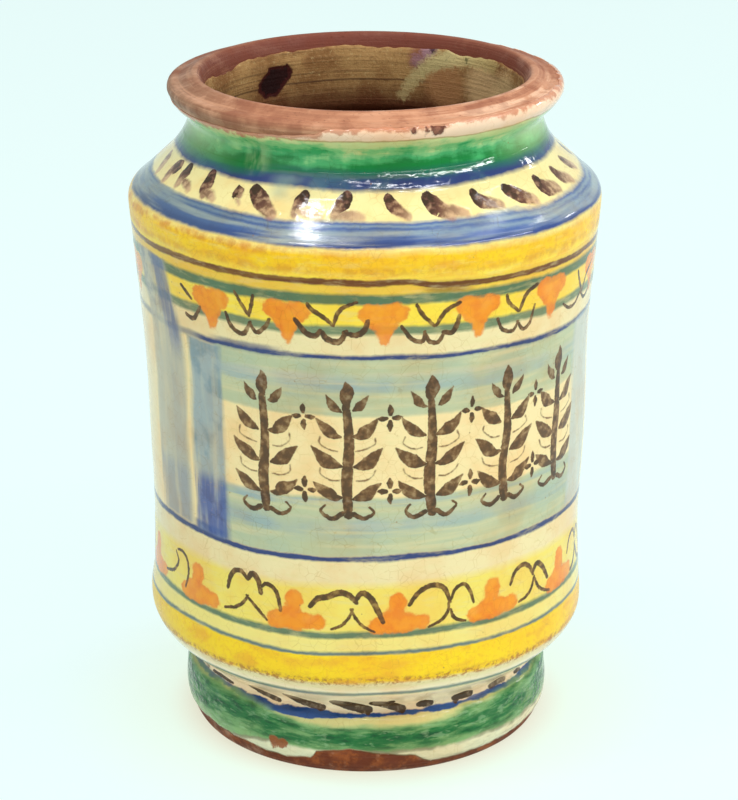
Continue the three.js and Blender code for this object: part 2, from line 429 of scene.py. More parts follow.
# %% [markdown]
# The outer glaze coat
# Tin glaze is a glassy skin, a good half millimetre thick, and it ends in a rounded bead. It
# could be faked with a colour on the clay, but then its edge would have no thickness at the foot
# and lip. So the coat is a closed ring of its own: a line that runs up the wall at the skin's
# depth and back down against the clay. Each point remembers its height and depth, and after the
# spin it is set again on the wall, with the ragged edge worked in.

# %% Sampling the wall by its curve
RUNG = 0.05
rungs = np.arange(0, HEIGHT + RUNG, RUNG)
upper_rungs, lower_rungs = np.minimum(rungs + 0.3, HEIGHT - 0.3), np.maximum(rungs - 0.3, 0.2)
slopes = (outside_radius(upper_rungs) - outside_radius(lower_rungs)) / (upper_rungs - lower_rungs)
outs = 1 / np.sqrt(1 + slopes**2)
ladder = np.stack((outside_radius(rungs), outs, -slopes * outs), 1).tolist()


def wall_at(z):
    rung = max(0.0, min(z, HEIGHT - RUNG)) / RUNG
    low, high, share = ladder[int(rung)], ladder[int(rung) + 1], rung % 1
    return [a + (b - a) * share for a, b in zip(low, high)]


def curve_heights(low, high, close, wide):
    heights, z = [low], low
    while z < high:
        _, out0, up0 = wall_at(z)
        _, out1, up1 = wall_at(min(high, z + 0.5))
        bend = acos(max(-1.0, min(1.0, out0 * out1 + up0 * up1))) * out0 / 0.5
        z += out0 * max(close, min(wide, (0.06 / max(bend, 0.001)) ** 0.5))
        heights.append(min(z, high))
    return heights


EDGE_LOW, EDGE_HIGH, SKIN = 7.0, 225.0, 0.72
coat_heights = curve_heights(EDGE_LOW, EDGE_HIGH, 0.5, 1.7)
print(len(coat_heights), "heights on the coat")

# %% Coat mesh
BEAD_SKIN, CHIP_DEPTH, CHIP_RADIUS = 0.14, 0.42, 62
CHIPS = ((20.5, 225.9, 2.5), (13.5, 225.7, 1.5), (17.2, 225.2, 1.0), (-30.0, 9.6, 2.2), (-27.2, 9.4, 2.2))


def remapped(angle, z):
    low, high = edge_heights(angle)
    low_shift = (low - EDGE_LOW) * max(0.0, 1 - (z - EDGE_LOW) / 17) ** 2
    high_shift = (high - EDGE_HIGH) * max(0.0, 1 - (EDGE_HIGH - z) / 11) ** 2
    return z + low_shift + high_shift


def chipped(angle, z):
    deep = 0.0
    for turn, height, size in CHIPS:
        away = hypot(arc_from(angle, turn, CHIP_RADIUS), z - height)
        ragged = (size + 0.2) * (1 + 0.35 * noise.noise(Vector((away, turn, z * 1.3 + 40 * angle))))
        deep = max(deep, min(1.0, max(0.0, (ragged - away) / 0.7 + 0.5)))
    return deep


def lay_coat():
    line = [(z, 1.0) for z in coat_heights] + [(z, 0.0) for z in coat_heights[::-4] + [EDGE_LOW]]
    outline = [(float(outside_radius(z)) + share, z, share) for z, share in line]
    bm, _, height_of, skin_of = spun(outline, 7)
    gap_of = bm.verts.layers.float.new("edge_gap")
    orange_of = bm.verts.layers.float.new("orange")
    for vertex in bm.verts:
        angle = angle_of(vertex.co)
        z = remapped(angle, vertex[height_of])
        gap = edge_gap(angle, z)
        bead = (1 - (1 - min(1.0, max(0.0, gap / 2.2))) ** 2) ** 0.5
        skin = vertex[skin_of] * (BEAD_SKIN + (SKIN - BEAD_SKIN) * bead)
        if vertex[skin_of] and (z < 16 or z > 218):
            skin -= CHIP_DEPTH * chipped(angle, z)
        radius, out, up = wall_at(z)
        vertex.co = on_jar(angle, radius + out * skin, z + up * skin)
        vertex[gap_of], vertex[orange_of] = gap, orange_depth(angle, z)
    return bm


glaze_coat = finished(lay_coat(), "glaze_coat")
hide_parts("outer_glaze")
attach(glaze_coat, "root")

# %% [markdown]
# The lining
# Inside, the jar has a thinner and duller coat that stops short of the mouth. It is made in the
# same way as the outer coat, from a line up the inner wall and back. One patch has flaked off
# the throat, and that patch is pressed in, so that light catches its edge.

# %% Lining mesh
SCAR, SCAR_RADIUS = (217.0, 215.8), 53
SCAR_SIDES = ((0, 7.0), (45, 5.1), (90, 5.4), (135, 8.2), (180, 7.2), (225, 4.6), (270, 5.6), (315, 6.8))


def scar_depth(angle, z):
    u, v = arc_from(angle, SCAR[0], SCAR_RADIUS), z - SCAR[1]
    outward = max((u * cos(radians(way)) + v * sin(radians(way))) / reach for way, reach in SCAR_SIDES)
    ragged = 0.16 * noise.noise(Vector((u * 0.5, v * 0.5, 3.0)))
    return min(1.0, max(0.0, 0.5 + (1 - outward + ragged) * 2.6))


def lining_line():
    low = evenly([(0.5, 12.0), (30, 12.0)] + cut_line(inside, 12, 190), 3.0)
    high = evenly(cut_line(inside, 190.5, HEIGHT - 4.5), 0.9)
    return low + high


def lay_lining():
    line = np.array(lining_line())
    along = np.gradient(line, axis=0)
    away = np.stack((-along[:, 1], along[:, 0]), 1) / np.hypot(*along.T)[:, None]
    skin = np.minimum(0.5, 0.12 + np.arange(len(line))[::-1] * 0.08)[:, None]
    front, back = line + away * (skin + 0.1), line + away * 0.04
    front[0, 0] = back[0, 0] = 0.0
    outline = [(max(float(r), 0.0), float(z), 0.0) for r, z in list(front) + list(back[::-1])]
    bm, radius_of, height_of, _ = spun(outline, 6, closed=False)
    scar_of = bm.verts.layers.float.new("scar")
    for vertex in bm.verts:
        radius, z = vertex[radius_of], vertex[height_of]
        if radius > 1:
            angle = angle_of(vertex.co)
            scar = scar_depth(angle, z) if z > 205 else 0.0
            spot = Vector((4 * sin(angle), 4 * cos(angle), 5))
            low_side = 1.2 * exp(-(((degrees(angle) + 116 + 180) % 360 - 180) / 20) ** 2)
            rim = (noise.noise(spot) + 0.5 * noise.noise(spot * 4) - low_side) * max(0.0, (z - 214) / 11)
            vertex.co = on_jar(angle, radius + 0.32 * scar, z + rim)
            vertex[scar_of] = scar
    return bm


lining_coat = finished(lay_lining(), "lining_coat")
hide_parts("inner_glaze")
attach(lining_coat, "root")

# %% [markdown]
# A brush stroke as a ribbon
# The brown strokes are manganese, laid on the raw glaze with a pointed brush. Each has a full
# head and a thinner tail, and stands a little proud. A painted texture would blur at this size, so
# every stroke is a thin closed ribbon: a grid, moved onto the wall along the stroke's path, and
# extruded to a thickness. It is a flat lens across, whose rim dips just under the glaze. The mesh
# stores how deep inside the ink each point lies, and the material draws the ragged outline.

# %% Path of a stroke
def stroke_line(marks, pitch=0.5):
    spots = [Vector((m[0], m[1], 0)) for m in marks]
    firsts = [spots[0] * 2 - spots[1]] + spots + [spots[-1] * 2 - spots[-2]]
    line, loads = [], []
    for i in range(1, len(spots)):
        before, start, end, after = firsts[i - 1 : i + 3]
        pieces = max(2, int((end - start).length / pitch))
        turn = 0.16 * min(1.0, (end - start).length / 6 + 0.5)
        bent = interpolate_bezier(
            start, start + (end - before) * turn, end - (after - start) * turn, end, pieces + 1,
        )
        shares = np.linspace(0, 1, pieces + 1)[1 if line else 0 :]
        line += bent[1 if line else 0 :]
        loads += [tuple(np.array(marks[i - 1][2:]) * (1 - s) + np.array(marks[i][2:]) * s) for s in shares]
    return np.array([(p.x, p.y) for p in line]), np.array(loads)


test_line, _ = stroke_line([(0, 0, 3, 1), (1, -4, 2, 0.8), (5, -7, 1, 0.5)])
print("a dab has", len(test_line), "points along it")

# %% One ribbon
MARGIN, PITCH, ACROSS, PROUD, SUNK = 0.4, 0.62, 6, 0.055, 0.05
# Radii at which the degrees along each row of strokes turn into millimetres
SHOULDER_AT, UPPER_AT, LOWER_AT, FOOT_AT, PANEL_AT = 69, 78, 73.4, 60.5, 73.6


def lay_stroke(bm, layers, marks, centre, radius, order):
    depth_of, load_of, gap_of, orange_of = layers
    line, loads = stroke_line(marks)
    run = np.concatenate(([0], np.cumsum(np.hypot(*np.diff(line, axis=0).T))))
    start, end = -loads[0, 0] / 2 - MARGIN, run[-1] + loads[-1, 0] / 2 + MARGIN
    pieces = max(4, int(round((end - start) / PITCH)))
    grid = bmesh.ops.create_grid(bm, x_segments=pieces, y_segments=ACROSS, size=0.5)
    faces = {face for vertex in grid["verts"] for face in vertex.link_faces}
    tangents = np.gradient(line, axis=0)
    tangents /= np.hypot(*tangents.T)[:, None]
    raised = bmesh.ops.extrude_face_region(bm, geom=list(faces), use_keep_orig=True)["geom"]
    tops = [item for item in raised if isinstance(item, bmesh.types.BMVert)]
    corners = grid["verts"] + tops
    flat = np.array([(corner.co.x, corner.co.y) for corner in corners])
    along = start + (flat[:, 0] + 0.5) * (end - start)
    held = np.clip(along, 0.0, run[-1])
    spot, aim = (np.stack([np.interp(held, run, way[:, i]) for i in (0, 1)], 1) for way in (line, tangents))
    width, load = (np.interp(held, run, loads[:, i]) for i in (0, 1))
    aim /= np.hypot(*aim.T)[:, None]
    half, beyond = width / 2 + MARGIN, along - held
    across = 2 * flat[:, 1] * half
    placed = spot + aim * beyond[:, None] + np.stack((-aim[:, 1], aim[:, 0]), 1) * across[:, None]
    rim = np.clip(np.maximum(np.abs(across), np.abs(beyond)) / half, 0, 1) ** 4
    skins = SKIN + PROUD * (1 - rim) - 0.03 * rim + 0.0012 * order
    skins[: len(grid["verts"])] = SKIN - SUNK
    depths = width / 2 - np.hypot(across, beyond)
    for corner, (u, v), skin, depth, thick in zip(
        corners, placed.tolist(), skins.tolist(), depths.tolist(), load.tolist(),
    ):
        angle = radians(centre) + u / radius
        wall, out, up = wall_at(v)
        corner.co = on_jar(angle, wall + out * skin, v + up * skin)
        corner[depth_of], corner[load_of] = depth, thick
        corner[gap_of], corner[orange_of] = edge_gap(angle, v), orange_depth(angle, v)
    sides = {face for vertex in grid["verts"] for face in vertex.link_faces} - faces
    for edge in {edge for face in sides for edge in face.edges}:
        edge.smooth = False


def brushed(name, strokes):
    bm = bmesh.new()
    layers = [bm.verts.layers.float.new(n) for n in ("ink_depth", "ink_load", "edge_gap", "orange")]
    for order, (centre, radius, marks) in enumerate(strokes):
        lay_stroke(bm, layers, marks, centre, radius, order % 3)
    bmesh.ops.recalc_face_normals(bm, faces=bm.faces)
    piece = finished(bm, name)
    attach(piece, "root")
    return piece


def turned(radius, *marks):
    return 0.0, radius, [(radians(m[0]) * radius, *m[1:]) for m in marks]


print("ribbons stand", PROUD, "mm proud of a", SKIN, "mm glaze")

# %% [markdown]
# Dabs on the shoulder
# Round the shoulder run some thirty dabs, each set down heavily at the top and dragged to the
# right as it thins. The ones in front are placed one by one. The rest carry on round the back at
# the same pace, with a seeded random hand, so that no two are alike.

# %% Shoulder dabs
import random

hand = random.Random(11)
# How much wider than its mark a dab gets as the brush is pressed down
PRESSED = 1.42


def dab(head, waist_mark, tail, wide=3.0, load=1.0, left=0.5):
    wide *= PRESSED
    first = (head[0], head[1] - wide * 0.3, wide * 0.84, load)
    return [first, (*waist_mark, wide * 1.08, load * (0.75 + left / 4)), (*tail, wide * 0.86, load * left)]


SHOULDER_FRONT = (
    ((-82, 204.4), (-80, 201.5), (-78, 199.2), 3.2, 0.6),
    ((-68, 204.6), (-70, 201.8), (-69.5, 199.4), 3.7, 0.85),
    ((-62, 205.2), (-62, 202.6), (-61.5, 200.2), 3.8, 0.95),
    ((-59.8, 201.6), (-57, 200.2), (-54.8, 199.3), 2.0, 0.6),
    ((-50, 206), (-49.6, 202.2), (-48.2, 200), 3.6, 1.0),
    ((-48.5, 201.2), (-46, 199.9), (-44, 199), 2.2, 0.6),
    ((-37.6, 203.4), (-37.4, 202.6), (-36.6, 201.4), 3.0, 1.0),
    ((-36.8, 201), (-35.8, 200), (-35, 199.3), 1.4, 0.5),
    ((-32.4, 204.9), (-29.6, 201.6), (-24.4, 198), 3.2, 0.95),
    ((-17, 204.8), (-17.6, 201.8), (-18.4, 199.4), 3.4, 1.0),
    ((-18, 200.6), (-14.5, 199.4), (-11.5, 198.6), 2.2, 0.45),
    ((-5, 205.2), (-6, 202.2), (-7.8, 199.4), 3.4, 1.0),
    ((-7.2, 200), (-3.6, 199.2), (-0.6, 198.7), 2.4, 0.5),
    ((6.5, 204.5), (7.6, 201.4), (11.2, 198.6), 2.7, 0.9),
    ((17.5, 204.2), (18.8, 201), (22.5, 198.4), 3.8, 0.95), ((20, 200.6), (24, 199), (27, 198), 2.6, 0.6),
    ((31.5, 203.6), (32.2, 200.6), (38.2, 198.6), 2.8, 0.95),
    ((42.5, 203), (45.2, 200), (50, 197.6), 3.2, 0.95), ((56, 202.6), (56.2, 199.6), (62, 198.2), 3.6, 0.9),
    ((67, 202.6), (67.6, 199.9), (72.2, 198), 3.3, 0.8), ((78, 203), (79.6, 200.6), (82.5, 198.8), 3.0, 0.75),
)
shoulder_strokes = [turned(SHOULDER_AT, *dab(*marks)) for marks in SHOULDER_FRONT]
for turn in range(91, 270, 12):
    lean, drop = hand.uniform(2, 5), hand.uniform(-0.5, 0.5)
    head = (turn + hand.uniform(-1.2, 1.2), 204.4 + drop)
    middle, tail = (head[0] + lean * 0.3, 201.4 + drop), (head[0] + lean, 198.9 + drop * 0.4)
    shoulder_strokes.append(
        turned(SHOULDER_AT, *dab(head, middle, tail, hand.uniform(2.5, 3.4), hand.uniform(0.8, 1)))
    )
brush_dabs_shoulder = brushed("brush_dabs_shoulder", shoulder_strokes)

# %% [markdown]
# The upper fringe
# Below the yellow band, two fine lines meet in a V between each pair of orange fruits, and a
# quick wave hangs beneath each V. They are drawn with the point of the brush, about a millimetre
# wide, pressed a little harder as the hand turns.

# %% Upper fringe
def line_marks(wide, load, *spots):
    last = len(spots) - 1
    swell = [1.18 * wide * (0.72 + 0.56 * sin(pi * (i + 0.6) / (last + 1.2))) for i in range(last + 1)]
    return [(*spot, swell[i], load * (1 - 0.15 * i / last)) for i, spot in enumerate(spots)]


UPPER_FRONT = (
    (1.0, ((-49.5, 171.5), (-47.6, 169.4), (-46, 167.7))), (1.0, ((-32, 174), (-30, 169.8), (-28.6, 166.7))),
    (1.0, ((-27, 173.8), (-27.6, 170), (-28.4, 166.7))),
    (1.1, ((-13.5, 173), (-12.5, 171.2), (-9.6, 168.6), (-7.6, 166.1))),
    (1.0, ((-2, 174), (-5, 172.3), (-6.6, 169.6), (-7.4, 166))),
    (1.0, ((12, 172.6), (13.4, 169.2), (16.3, 165))), (1.1, ((22.5, 172), (19.2, 169.8), (16.8, 165.2))),
    (1.0, ((35.3, 171.5), (36, 169), (39.2, 165.2))), (1.2, ((45, 172.6), (41.5, 170.4), (39.6, 165.3))),
    (0.9, ((63.5, 170.6), (65, 166.5), (67.5, 162))), (0.9, ((74.5, 170), (70, 167), (67.8, 162.2))),
    (1.2, ((-48.5, 161.7), (-46.8, 160.9), (-45.4, 161.4), (-43.2, 165.6))),
    (1.2, ((-35, 166.1), (-33.6, 161.9), (-30.4, 159.9), (-28.1, 164.3))),
    (1.1, ((-28.4, 164.2), (-26.6, 161.2), (-24.2, 163.6), (-23, 166.4))),
    (1.4, ((-16.5, 167.3), (-14.2, 163.2), (-11.8, 162.2), (-10.6, 164))),
    (1.5, ((-10.4, 163.8), (-9, 161.3), (-6.2, 160.5), (-4.4, 164))),
    (1.4, ((-5, 163.7), (-2.2, 162.8), (-0.2, 164.6), (0.6, 167.7))),
    (1.1, ((8.5, 165.5), (11, 161), (13.6, 160), (14.1, 163.2))),
    (1.1, ((14, 163.2), (15.2, 159.8), (17.4, 159.3), (18.9, 162.5))),
    (1.3, ((18.6, 162.6), (20.8, 162), (22, 164.6), (22.5, 167.4))),
    (1.0, ((33, 164.1), (34.6, 160), (37.8, 158.8), (39.4, 161.6))),
    (1.0, ((39.1, 161.6), (41, 158.4), (43.2, 159.8), (44.6, 165.6))),
    (0.9, ((56.5, 161.8), (59.5, 159.4), (63, 159.4), (66.4, 162.4))),
    (0.9, ((66.6, 162), (69.5, 159.2), (73, 160.6), (75, 164.5))),
)
upper_strokes = [turned(UPPER_AT, *line_marks(wide, 0.92, *spots)) for wide, spots in UPPER_FRONT]
FRINGE_SHAPES = (
    ((-5.8, 173), (-4, 169.6), (0, 165.4)), ((7, 173.2), (3.4, 170.8), (0.5, 165.5)),
    ((-7.5, 165.6), (-5.6, 161.2), (-2.8, 160), (-0.6, 163.4)),
    ((-0.5, 163.4), (1, 160), (3.6, 159.8), (5, 162.6)), ((4.6, 162.8), (7, 162), (8.8, 164.6), (9.2, 167.2)),
)
for turn in [86.0 + 23.2 * i for i in range(9)]:
    for shape in FRINGE_SHAPES:
        drawn = [(u + hand.uniform(-0.5, 0.5), z + hand.uniform(-0.4, 0.4)) for u, z in shape]
        upper_strokes.append((turn, UPPER_AT, line_marks(hand.uniform(0.9, 1.3), 0.9, *drawn)))
brush_fringe_upper = brushed("brush_fringe_upper", upper_strokes)

# %% [markdown]
# The lower fringe
# The lower band turns the same idea over: rounded double arches stand between the orange half
# flowers, and a pair of curved lines spreads beneath each, like a small tent.

# %% Lower fringe
LOWER_FRONT = (
    (0.9, ((-67, 62.6), (-64.5, 63.4), (-61.5, 65), (-59.2, 69), (-60.4, 72.2))),
    (0.9, ((-59.5, 73.3), (-57, 73.6), (-54.9, 72), (-54, 67.3), (-55.5, 61.4))),
    (1.3, ((-38.5, 68.1), (-37.6, 72.2), (-36, 74.8), (-34, 75.3), (-32.2, 73.1))),
    (1.5, ((-32, 73.1), (-30.6, 75.4), (-28.9, 73.4), (-28.1, 69))),
    (1.1, ((-28, 71.3), (-26.5, 72.8), (-24.2, 71.5), (-23, 68), (-22.5, 64))),
    (1.6, ((-14.5, 67.1), (-12.6, 69.9), (-10, 70.9), (-6.6, 72.6), (-4.2, 71.6), (-2.6, 69.3))),
    (1.5, ((-3, 69.7), (-1, 72.7), (1.2, 70.6), (2.8, 66.4), (4.2, 62.2))),
    (1.3, ((11, 67.9), (13.4, 72), (17, 74), (20.2, 72.4), (21.9, 67.2))),
    (1.0, ((22, 67.8), (23.4, 71.5), (25.8, 72.6), (27.6, 69.6), (28.6, 65.4))),
    (1.2, ((40.5, 68), (42, 71.8), (45, 73.4), (47.6, 71.6), (49, 68.2))),
    (1.4, ((49, 69.3), (50.8, 71.6), (53.4, 69), (55.5, 64.4))),
    (0.9, ((-39.5, 60.6), (-36, 61.8), (-33.6, 64), (-32, 67))),
    (0.9, ((-32.4, 67), (-30, 64.2), (-28, 61.8), (-26.4, 60))),
    (0.8, ((-9, 59.5), (-6.6, 60.8), (-4.6, 63.6), (-3.5, 66.8))),
    (0.8, ((-4, 66.8), (-2.6, 63.4), (-0.6, 60.6), (2, 58.8))),
    (0.9, ((21.5, 67.2), (21.2, 63.8), (19.2, 61), (16, 59.4))),
    (0.9, ((22, 64.6), (22.6, 62), (24, 60.4), (26, 59.5))),
    (0.9, ((49.5, 67.3), (48.3, 63.6), (46.2, 61.4), (43.5, 60.6))),
    (0.9, ((49.7, 66.6), (51.2, 63), (53.6, 60.6), (56.5, 59.2))),
)
lower_strokes = [turned(LOWER_AT, *line_marks(wide, 0.95, *spots)) for wide, spots in LOWER_FRONT]
ARCH_SHAPES = (
    ((-10, 67.6), (-8.2, 71.4), (-4.8, 73.6), (-1.6, 72.2), (0, 68.6)),
    ((0, 69.2), (1.8, 72.4), (4.6, 71.6), (7, 68), (8.4, 64)),
    ((-7, 60), (-3.8, 61.2), (-1.4, 63.6), (0, 67)), ((0, 66.6), (1.8, 63), (4, 60.6), (6.4, 59.4)),
)
for turn in [76.0 + 27.9 * i for i in range(8)]:
    for shape in ARCH_SHAPES:
        drawn = [(u + hand.uniform(-0.5, 0.5), z + hand.uniform(-0.4, 0.4)) for u, z in shape]
        lower_strokes.append((turn, LOWER_AT, line_marks(hand.uniform(0.9, 1.4), 0.92, *drawn)))
brush_fringe_lower = brushed("brush_fringe_lower", lower_strokes)

# %% [markdown]
# Dabs above the foot
# A row of slanting dabs hangs in the hollow above the foot, each trailing to the right until it
# touches the dark blue line.

# %% Foot dabs
FOOT_FRONT = (
    ((-62.5, 23.6), (-57, 23.5), (-50.5, 23.2), 1.0, 0.7),
    ((-41.2, 26.8), (-38.6, 25.4), (-30, 23.2), 1.7, 0.8),
    ((-26, 28.6), (-23, 25.8), (-14.8, 23.4), 2.5, 0.9), ((-10, 28.6), (-6.4, 26), (0, 23.4), 3.3, 1.0),
    ((2.2, 28.6), (6, 26.2), (11.2, 23.2), 2.8, 0.9), ((7.6, 28.8), (6.8, 27), (6.2, 25.6), 2.2, 0.9),
    ((17.6, 25.6), (18.6, 24.6), (20.8, 24.2), 2.5, 1.0), ((30.2, 25.4), (33, 24.6), (35.8, 24.2), 2.6, 1.0),
    ((31, 24.4), (30.6, 23.4), (30, 22.6), 1.6, 0.9), ((45.4, 25), (48.6, 24.6), (52, 24), 2.8, 0.45),
    ((59, 24.2), (60.6, 23.7), (62.5, 23.2), 1.4, 0.6), ((73, 26.6), (75.6, 25), (80, 23.4), 2.4, 0.8),
)
foot_strokes = [
    turned(FOOT_AT, *dab(*marks[:3], marks[3] * 1.05, min(1.0, marks[4] * 1.4), 0.8)) for marks in FOOT_FRONT
]
for turn in range(88, 288, 14):
    drop = hand.uniform(-0.4, 0.6)
    head, tail = (turn + hand.uniform(-1, 1), 27.6 + drop), (turn + hand.uniform(8, 11), 23.2)
    marks = dab(head, (head[0] + 3.2, 25.4 + drop), tail, hand.uniform(1.8, 2.8), hand.uniform(0.75, 1))
    foot_strokes.append(turned(FOOT_AT, *marks))
brush_dabs_foot = brushed("brush_dabs_foot", foot_strokes)

# %% [markdown]
# Sprigs on the panel
# The broad panel holds a row of leafy sprigs, a pattern as old as the ware itself, in the brown of
# the other strokes. Each leaf could be placed by hand, but a painter knows one sprig and repeats
# it. So a sprig is designed once, in millimetres about its own stem, from lens-shaped strokes, and
# is then repeated with a slightly different hand, with four-dab flowers between.

# %% Sprig frieze
def leaf(u, v, side, reach, rise_by, wide):
    marks = []
    for share, swell in ((0.0, 0.22), (0.22, 0.62), (0.48, 1.0), (0.74, 0.74), (1.0, 0.16)):
        along = side * (2.0 + (reach - 2.0) * share)
        marks.append((u + along, v + rise_by * share**1.7, wide * swell, 0.86 - 0.12 * share))
    return marks


def sprig(tall):
    top = 100 + tall
    strokes = [
        [(0.2, 100.5, 3.4, 0.9), (-0.5, 112, 3.8, 0.8), (0.4, 125, 3.4, 0.84), (0, top - 8, 2.4, 0.86)]
    ]
    strokes.append([
        (0, top - 8, 1.6, 0.8), (-0.1, top - 5.4, 4.2, 0.86), (0, top - 3.2, 4.8, 0.84),
        (0.1, top - 1, 2.8, 0.8), (0, top + 0.8, 0.8, 0.76),
    ])
    for side in (-1, 1):
        strokes.append(leaf(0, 106, side, 10.8, 5.5, 4.6))
        strokes.append(leaf(0, 117, side, 11.2, 6.5, 5.0))
        strokes.append(leaf(0, 127.5, side, 9.8, 6.4, 4.4))
        strokes.append(leaf(0, top - 9.5, side, 6.6, 5.4, 3.2))
        strokes.append([
            (side * 1.9, 100.6, 1.8, 1), (side * 5.4, 98.9, 1.7, 0.9), (side * 8.6, 101.2, 1.1, 0.8),
            (side * 7.2, 103.2, 0.9, 0.8),
        ])
        strokes.append([
            (side * 2.9, 112.4, 0.8, 0.7), (side * 5.4, 112.3, 0.9, 0.7), (side * 8.4, 114.2, 0.8, 0.65),
            (side * 8.8, 116, 1.0, 0.7),
        ])
        strokes.append([
            (side * 2.9, 122.8, 0.8, 0.7), (side * 5.6, 123, 0.9, 0.7), (side * 9, 125.2, 0.8, 0.65),
            (side * 8.6, 127.2, 1.0, 0.7),
        ])
    return strokes


def four_dabs(v):
    ways = ((0, 1), (1, 0), (0, -1), (-1, 0))
    return [
        [(a * 1.3, v + b * 1.5, 1.5, 1), (a * 2.5, v + b * 2.9, 2.1, 0.95), (a * 3.6, v + b * 4.4, 0.8, 0.8)]
        for a, b in ways
    ]


def by_hand(stroke, sway=0.35):
    return [
        (u + hand.uniform(-sway, sway), v + hand.uniform(-sway, sway), w * hand.uniform(0.9, 1.12), load)
        for u, v, w, load in stroke
    ]


frieze_strokes = []
for turn in (-26.0, -4.6, 16.4, 37.4, 57.0):
    frieze_strokes += [(turn, PANEL_AT, by_hand(stroke)) for stroke in sprig(hand.uniform(45, 48))]
for turn in (-15.4, 6.0, 27.0, 47.4):
    for height in (108.5, 134):
        frieze_strokes += [(turn, PANEL_AT, by_hand(stroke, 0.2)) for stroke in four_dabs(height)]
brush_frieze = brushed("brush_frieze", frieze_strokes)

# %% [markdown]
# A shorthand for shader nodes
# Every finish here is built from nodes that read a point's own place on the jar, so the patterns
# need no pictures and no unwrapping. Wiring them one by one is long, so this small board adds a
# node and feeds it, and hands back its output as a wire. Wires can be added and multiplied like
# numbers, and they know the words that the painting needs: a soft rise, a band between two
# heights and grain. A layer is one colour over another, as far as a share from 0 to 1 says.

# %% Board and wires
class Board:
    def __init__(self, tree):
        self.nodes, self.links = tree.nodes, tree.links

    def feed(self, node, feeds):
        for socket, value in dict(feeds).items():
            if isinstance(value, Wire):
                self.links.new(value.socket, node.inputs[socket])
            else:
                node.inputs[socket].default_value = value
        return node

    def add(self, kind, feeds=(), pick=0, **settings):
        node = self.nodes.new(kind)
        for name, value in settings.items():
            setattr(node, name, value)
        return Wire(self, self.feed(node, feeds).outputs[pick])

    def calc(self, what, *values):
        return self.add("ShaderNodeMath", enumerate(values), operation=what)

    def stored(self, name):
        return self.add("ShaderNodeAttribute", pick=2, attribute_name=name)

    def place_in_mm(self):
        metres = self.add("ShaderNodeTexCoord", pick=3)
        return self.add("ShaderNodeVectorMath", {0: metres, 3: 1 / MM}, operation="SCALE")


class Wire:
    def __init__(self, board, socket):
        self.board, self.socket = board, socket

    def __add__(self, other):
        return self.board.calc("ADD", self, other)

    def __sub__(self, other):
        return self.board.calc("SUBTRACT", self, other)

    def __mul__(self, other):
        return self.board.calc("MULTIPLY", self, other)

    def __abs__(self):
        return self.board.calc("ABSOLUTE", self)

    def most(self, other):
        return self.board.calc("MAXIMUM", self, other)

    def sway(self, reach):
        return self.board.calc("MULTIPLY_ADD", self, reach, -reach / 2)

    def rise(self, low, high, start=0.0, end=1.0):
        feeds = {0: self, 1: low, 2: high, 3: start, 4: end}
        return self.board.add("ShaderNodeMapRange", feeds, interpolation_type="SMOOTHSTEP")

    def band(self, low, high, soft):
        return self.rise(low - soft, low + soft) * self.rise(high + soft, high - soft)

    def stretch(self, *sizes):
        feeds = {0: self, 1: tuple(1 / size for size in sizes)}
        return self.board.add("ShaderNodeVectorMath", feeds, operation="MULTIPLY")

    def grain(self, size=1.0, detail=2.0, rough=0.5):
        feeds = {"Vector": self, "Scale": 1 / size, "Detail": detail, "Roughness": rough}
        return self.board.add("ShaderNodeTexNoise", feeds)

    def cracks(self, size):
        feeds = {"Vector": self, "Scale": 1 / size, "Randomness": 1.0}
        return self.board.add("ShaderNodeTexVoronoi", feeds, feature="DISTANCE_TO_EDGE")

    def away_from(self, spot):
        return self.board.add("ShaderNodeVectorMath", {0: self, 1: spot}, 1, operation="DISTANCE")

    def axes(self):
        split = self.board.feed(self.board.nodes.new("ShaderNodeSeparateXYZ"), {0: self})
        return [Wire(self.board, output) for output in split.outputs]


def layer(under, share, over, blend="MIX"):
    feeds = {0: share, 6: under, 7: over}
    return share.board.add("ShaderNodeMix", feeds, 2, data_type="RGBA", blend_type=blend, clamp_factor=True)


def paint(red, green, blue):
    shades = [v / 255 for v in (red, green, blue)]
    return (*((v / 12.92 if v < 0.04045 else ((v + 0.055) / 1.055) ** 2.4) for v in shades), 1.0)


print("tin white is", [round(v, 2) for v in paint(238, 229, 180)])

# %% [markdown]
# The paint box
# The colours of this ware are few: copper green, cobalt blue, antimony yellow, iron orange and
# manganese brown, on a cream ground. Thin or thick, they give all the others. They are written as
# the shades seen in plain light.

# %% Paint box
PAINTS = {
    "cream": paint(254, 228, 190), "groove cream": paint(255, 226, 186), "warm": paint(232, 216, 152),
    "pink": paint(233, 211, 159), "navy": paint(48, 62, 112), "foot blue": paint(42, 78, 140),
    "blue": paint(70, 94, 146), "deep blue": paint(48, 68, 126), "soft blue": paint(120, 140, 158),
    "pale blue": paint(134, 142, 134), "slate": paint(98, 116, 112), "yellow": paint(244, 202, 14),
    "gold": paint(244, 196, 0), "lemon": paint(244, 210, 62), "pale lemon": paint(236, 210, 96),
    "straw": paint(234, 212, 120), "teal": paint(84, 112, 80), "thin teal": paint(98, 118, 88),
    "grey teal": paint(112, 128, 92), "umber": paint(104, 58, 14), "ochre": paint(232, 190, 62),
    "celadon": paint(214, 200, 132), "panel": paint(240, 213, 157), "lip white": paint(236, 200, 170),
    "joint": paint(170, 138, 84), "watery": paint(176, 184, 132),
}
FOOT_RINGS = (
    ("celadon", 22.3, 0.5), ("groove cream", 33.9, 0.5), ("pale blue", 35.7, 0.6), ("cream", 37.5, 1.2),
    ("pink", 40.6, 0.6), ("yellow", 50.8, 0.35), ("slate", 52.1, 0.4), ("straw", 56.8, 0.4),
    ("thin teal", 59.1, 0.6), ("pale lemon", 60.4, 0.3),
)
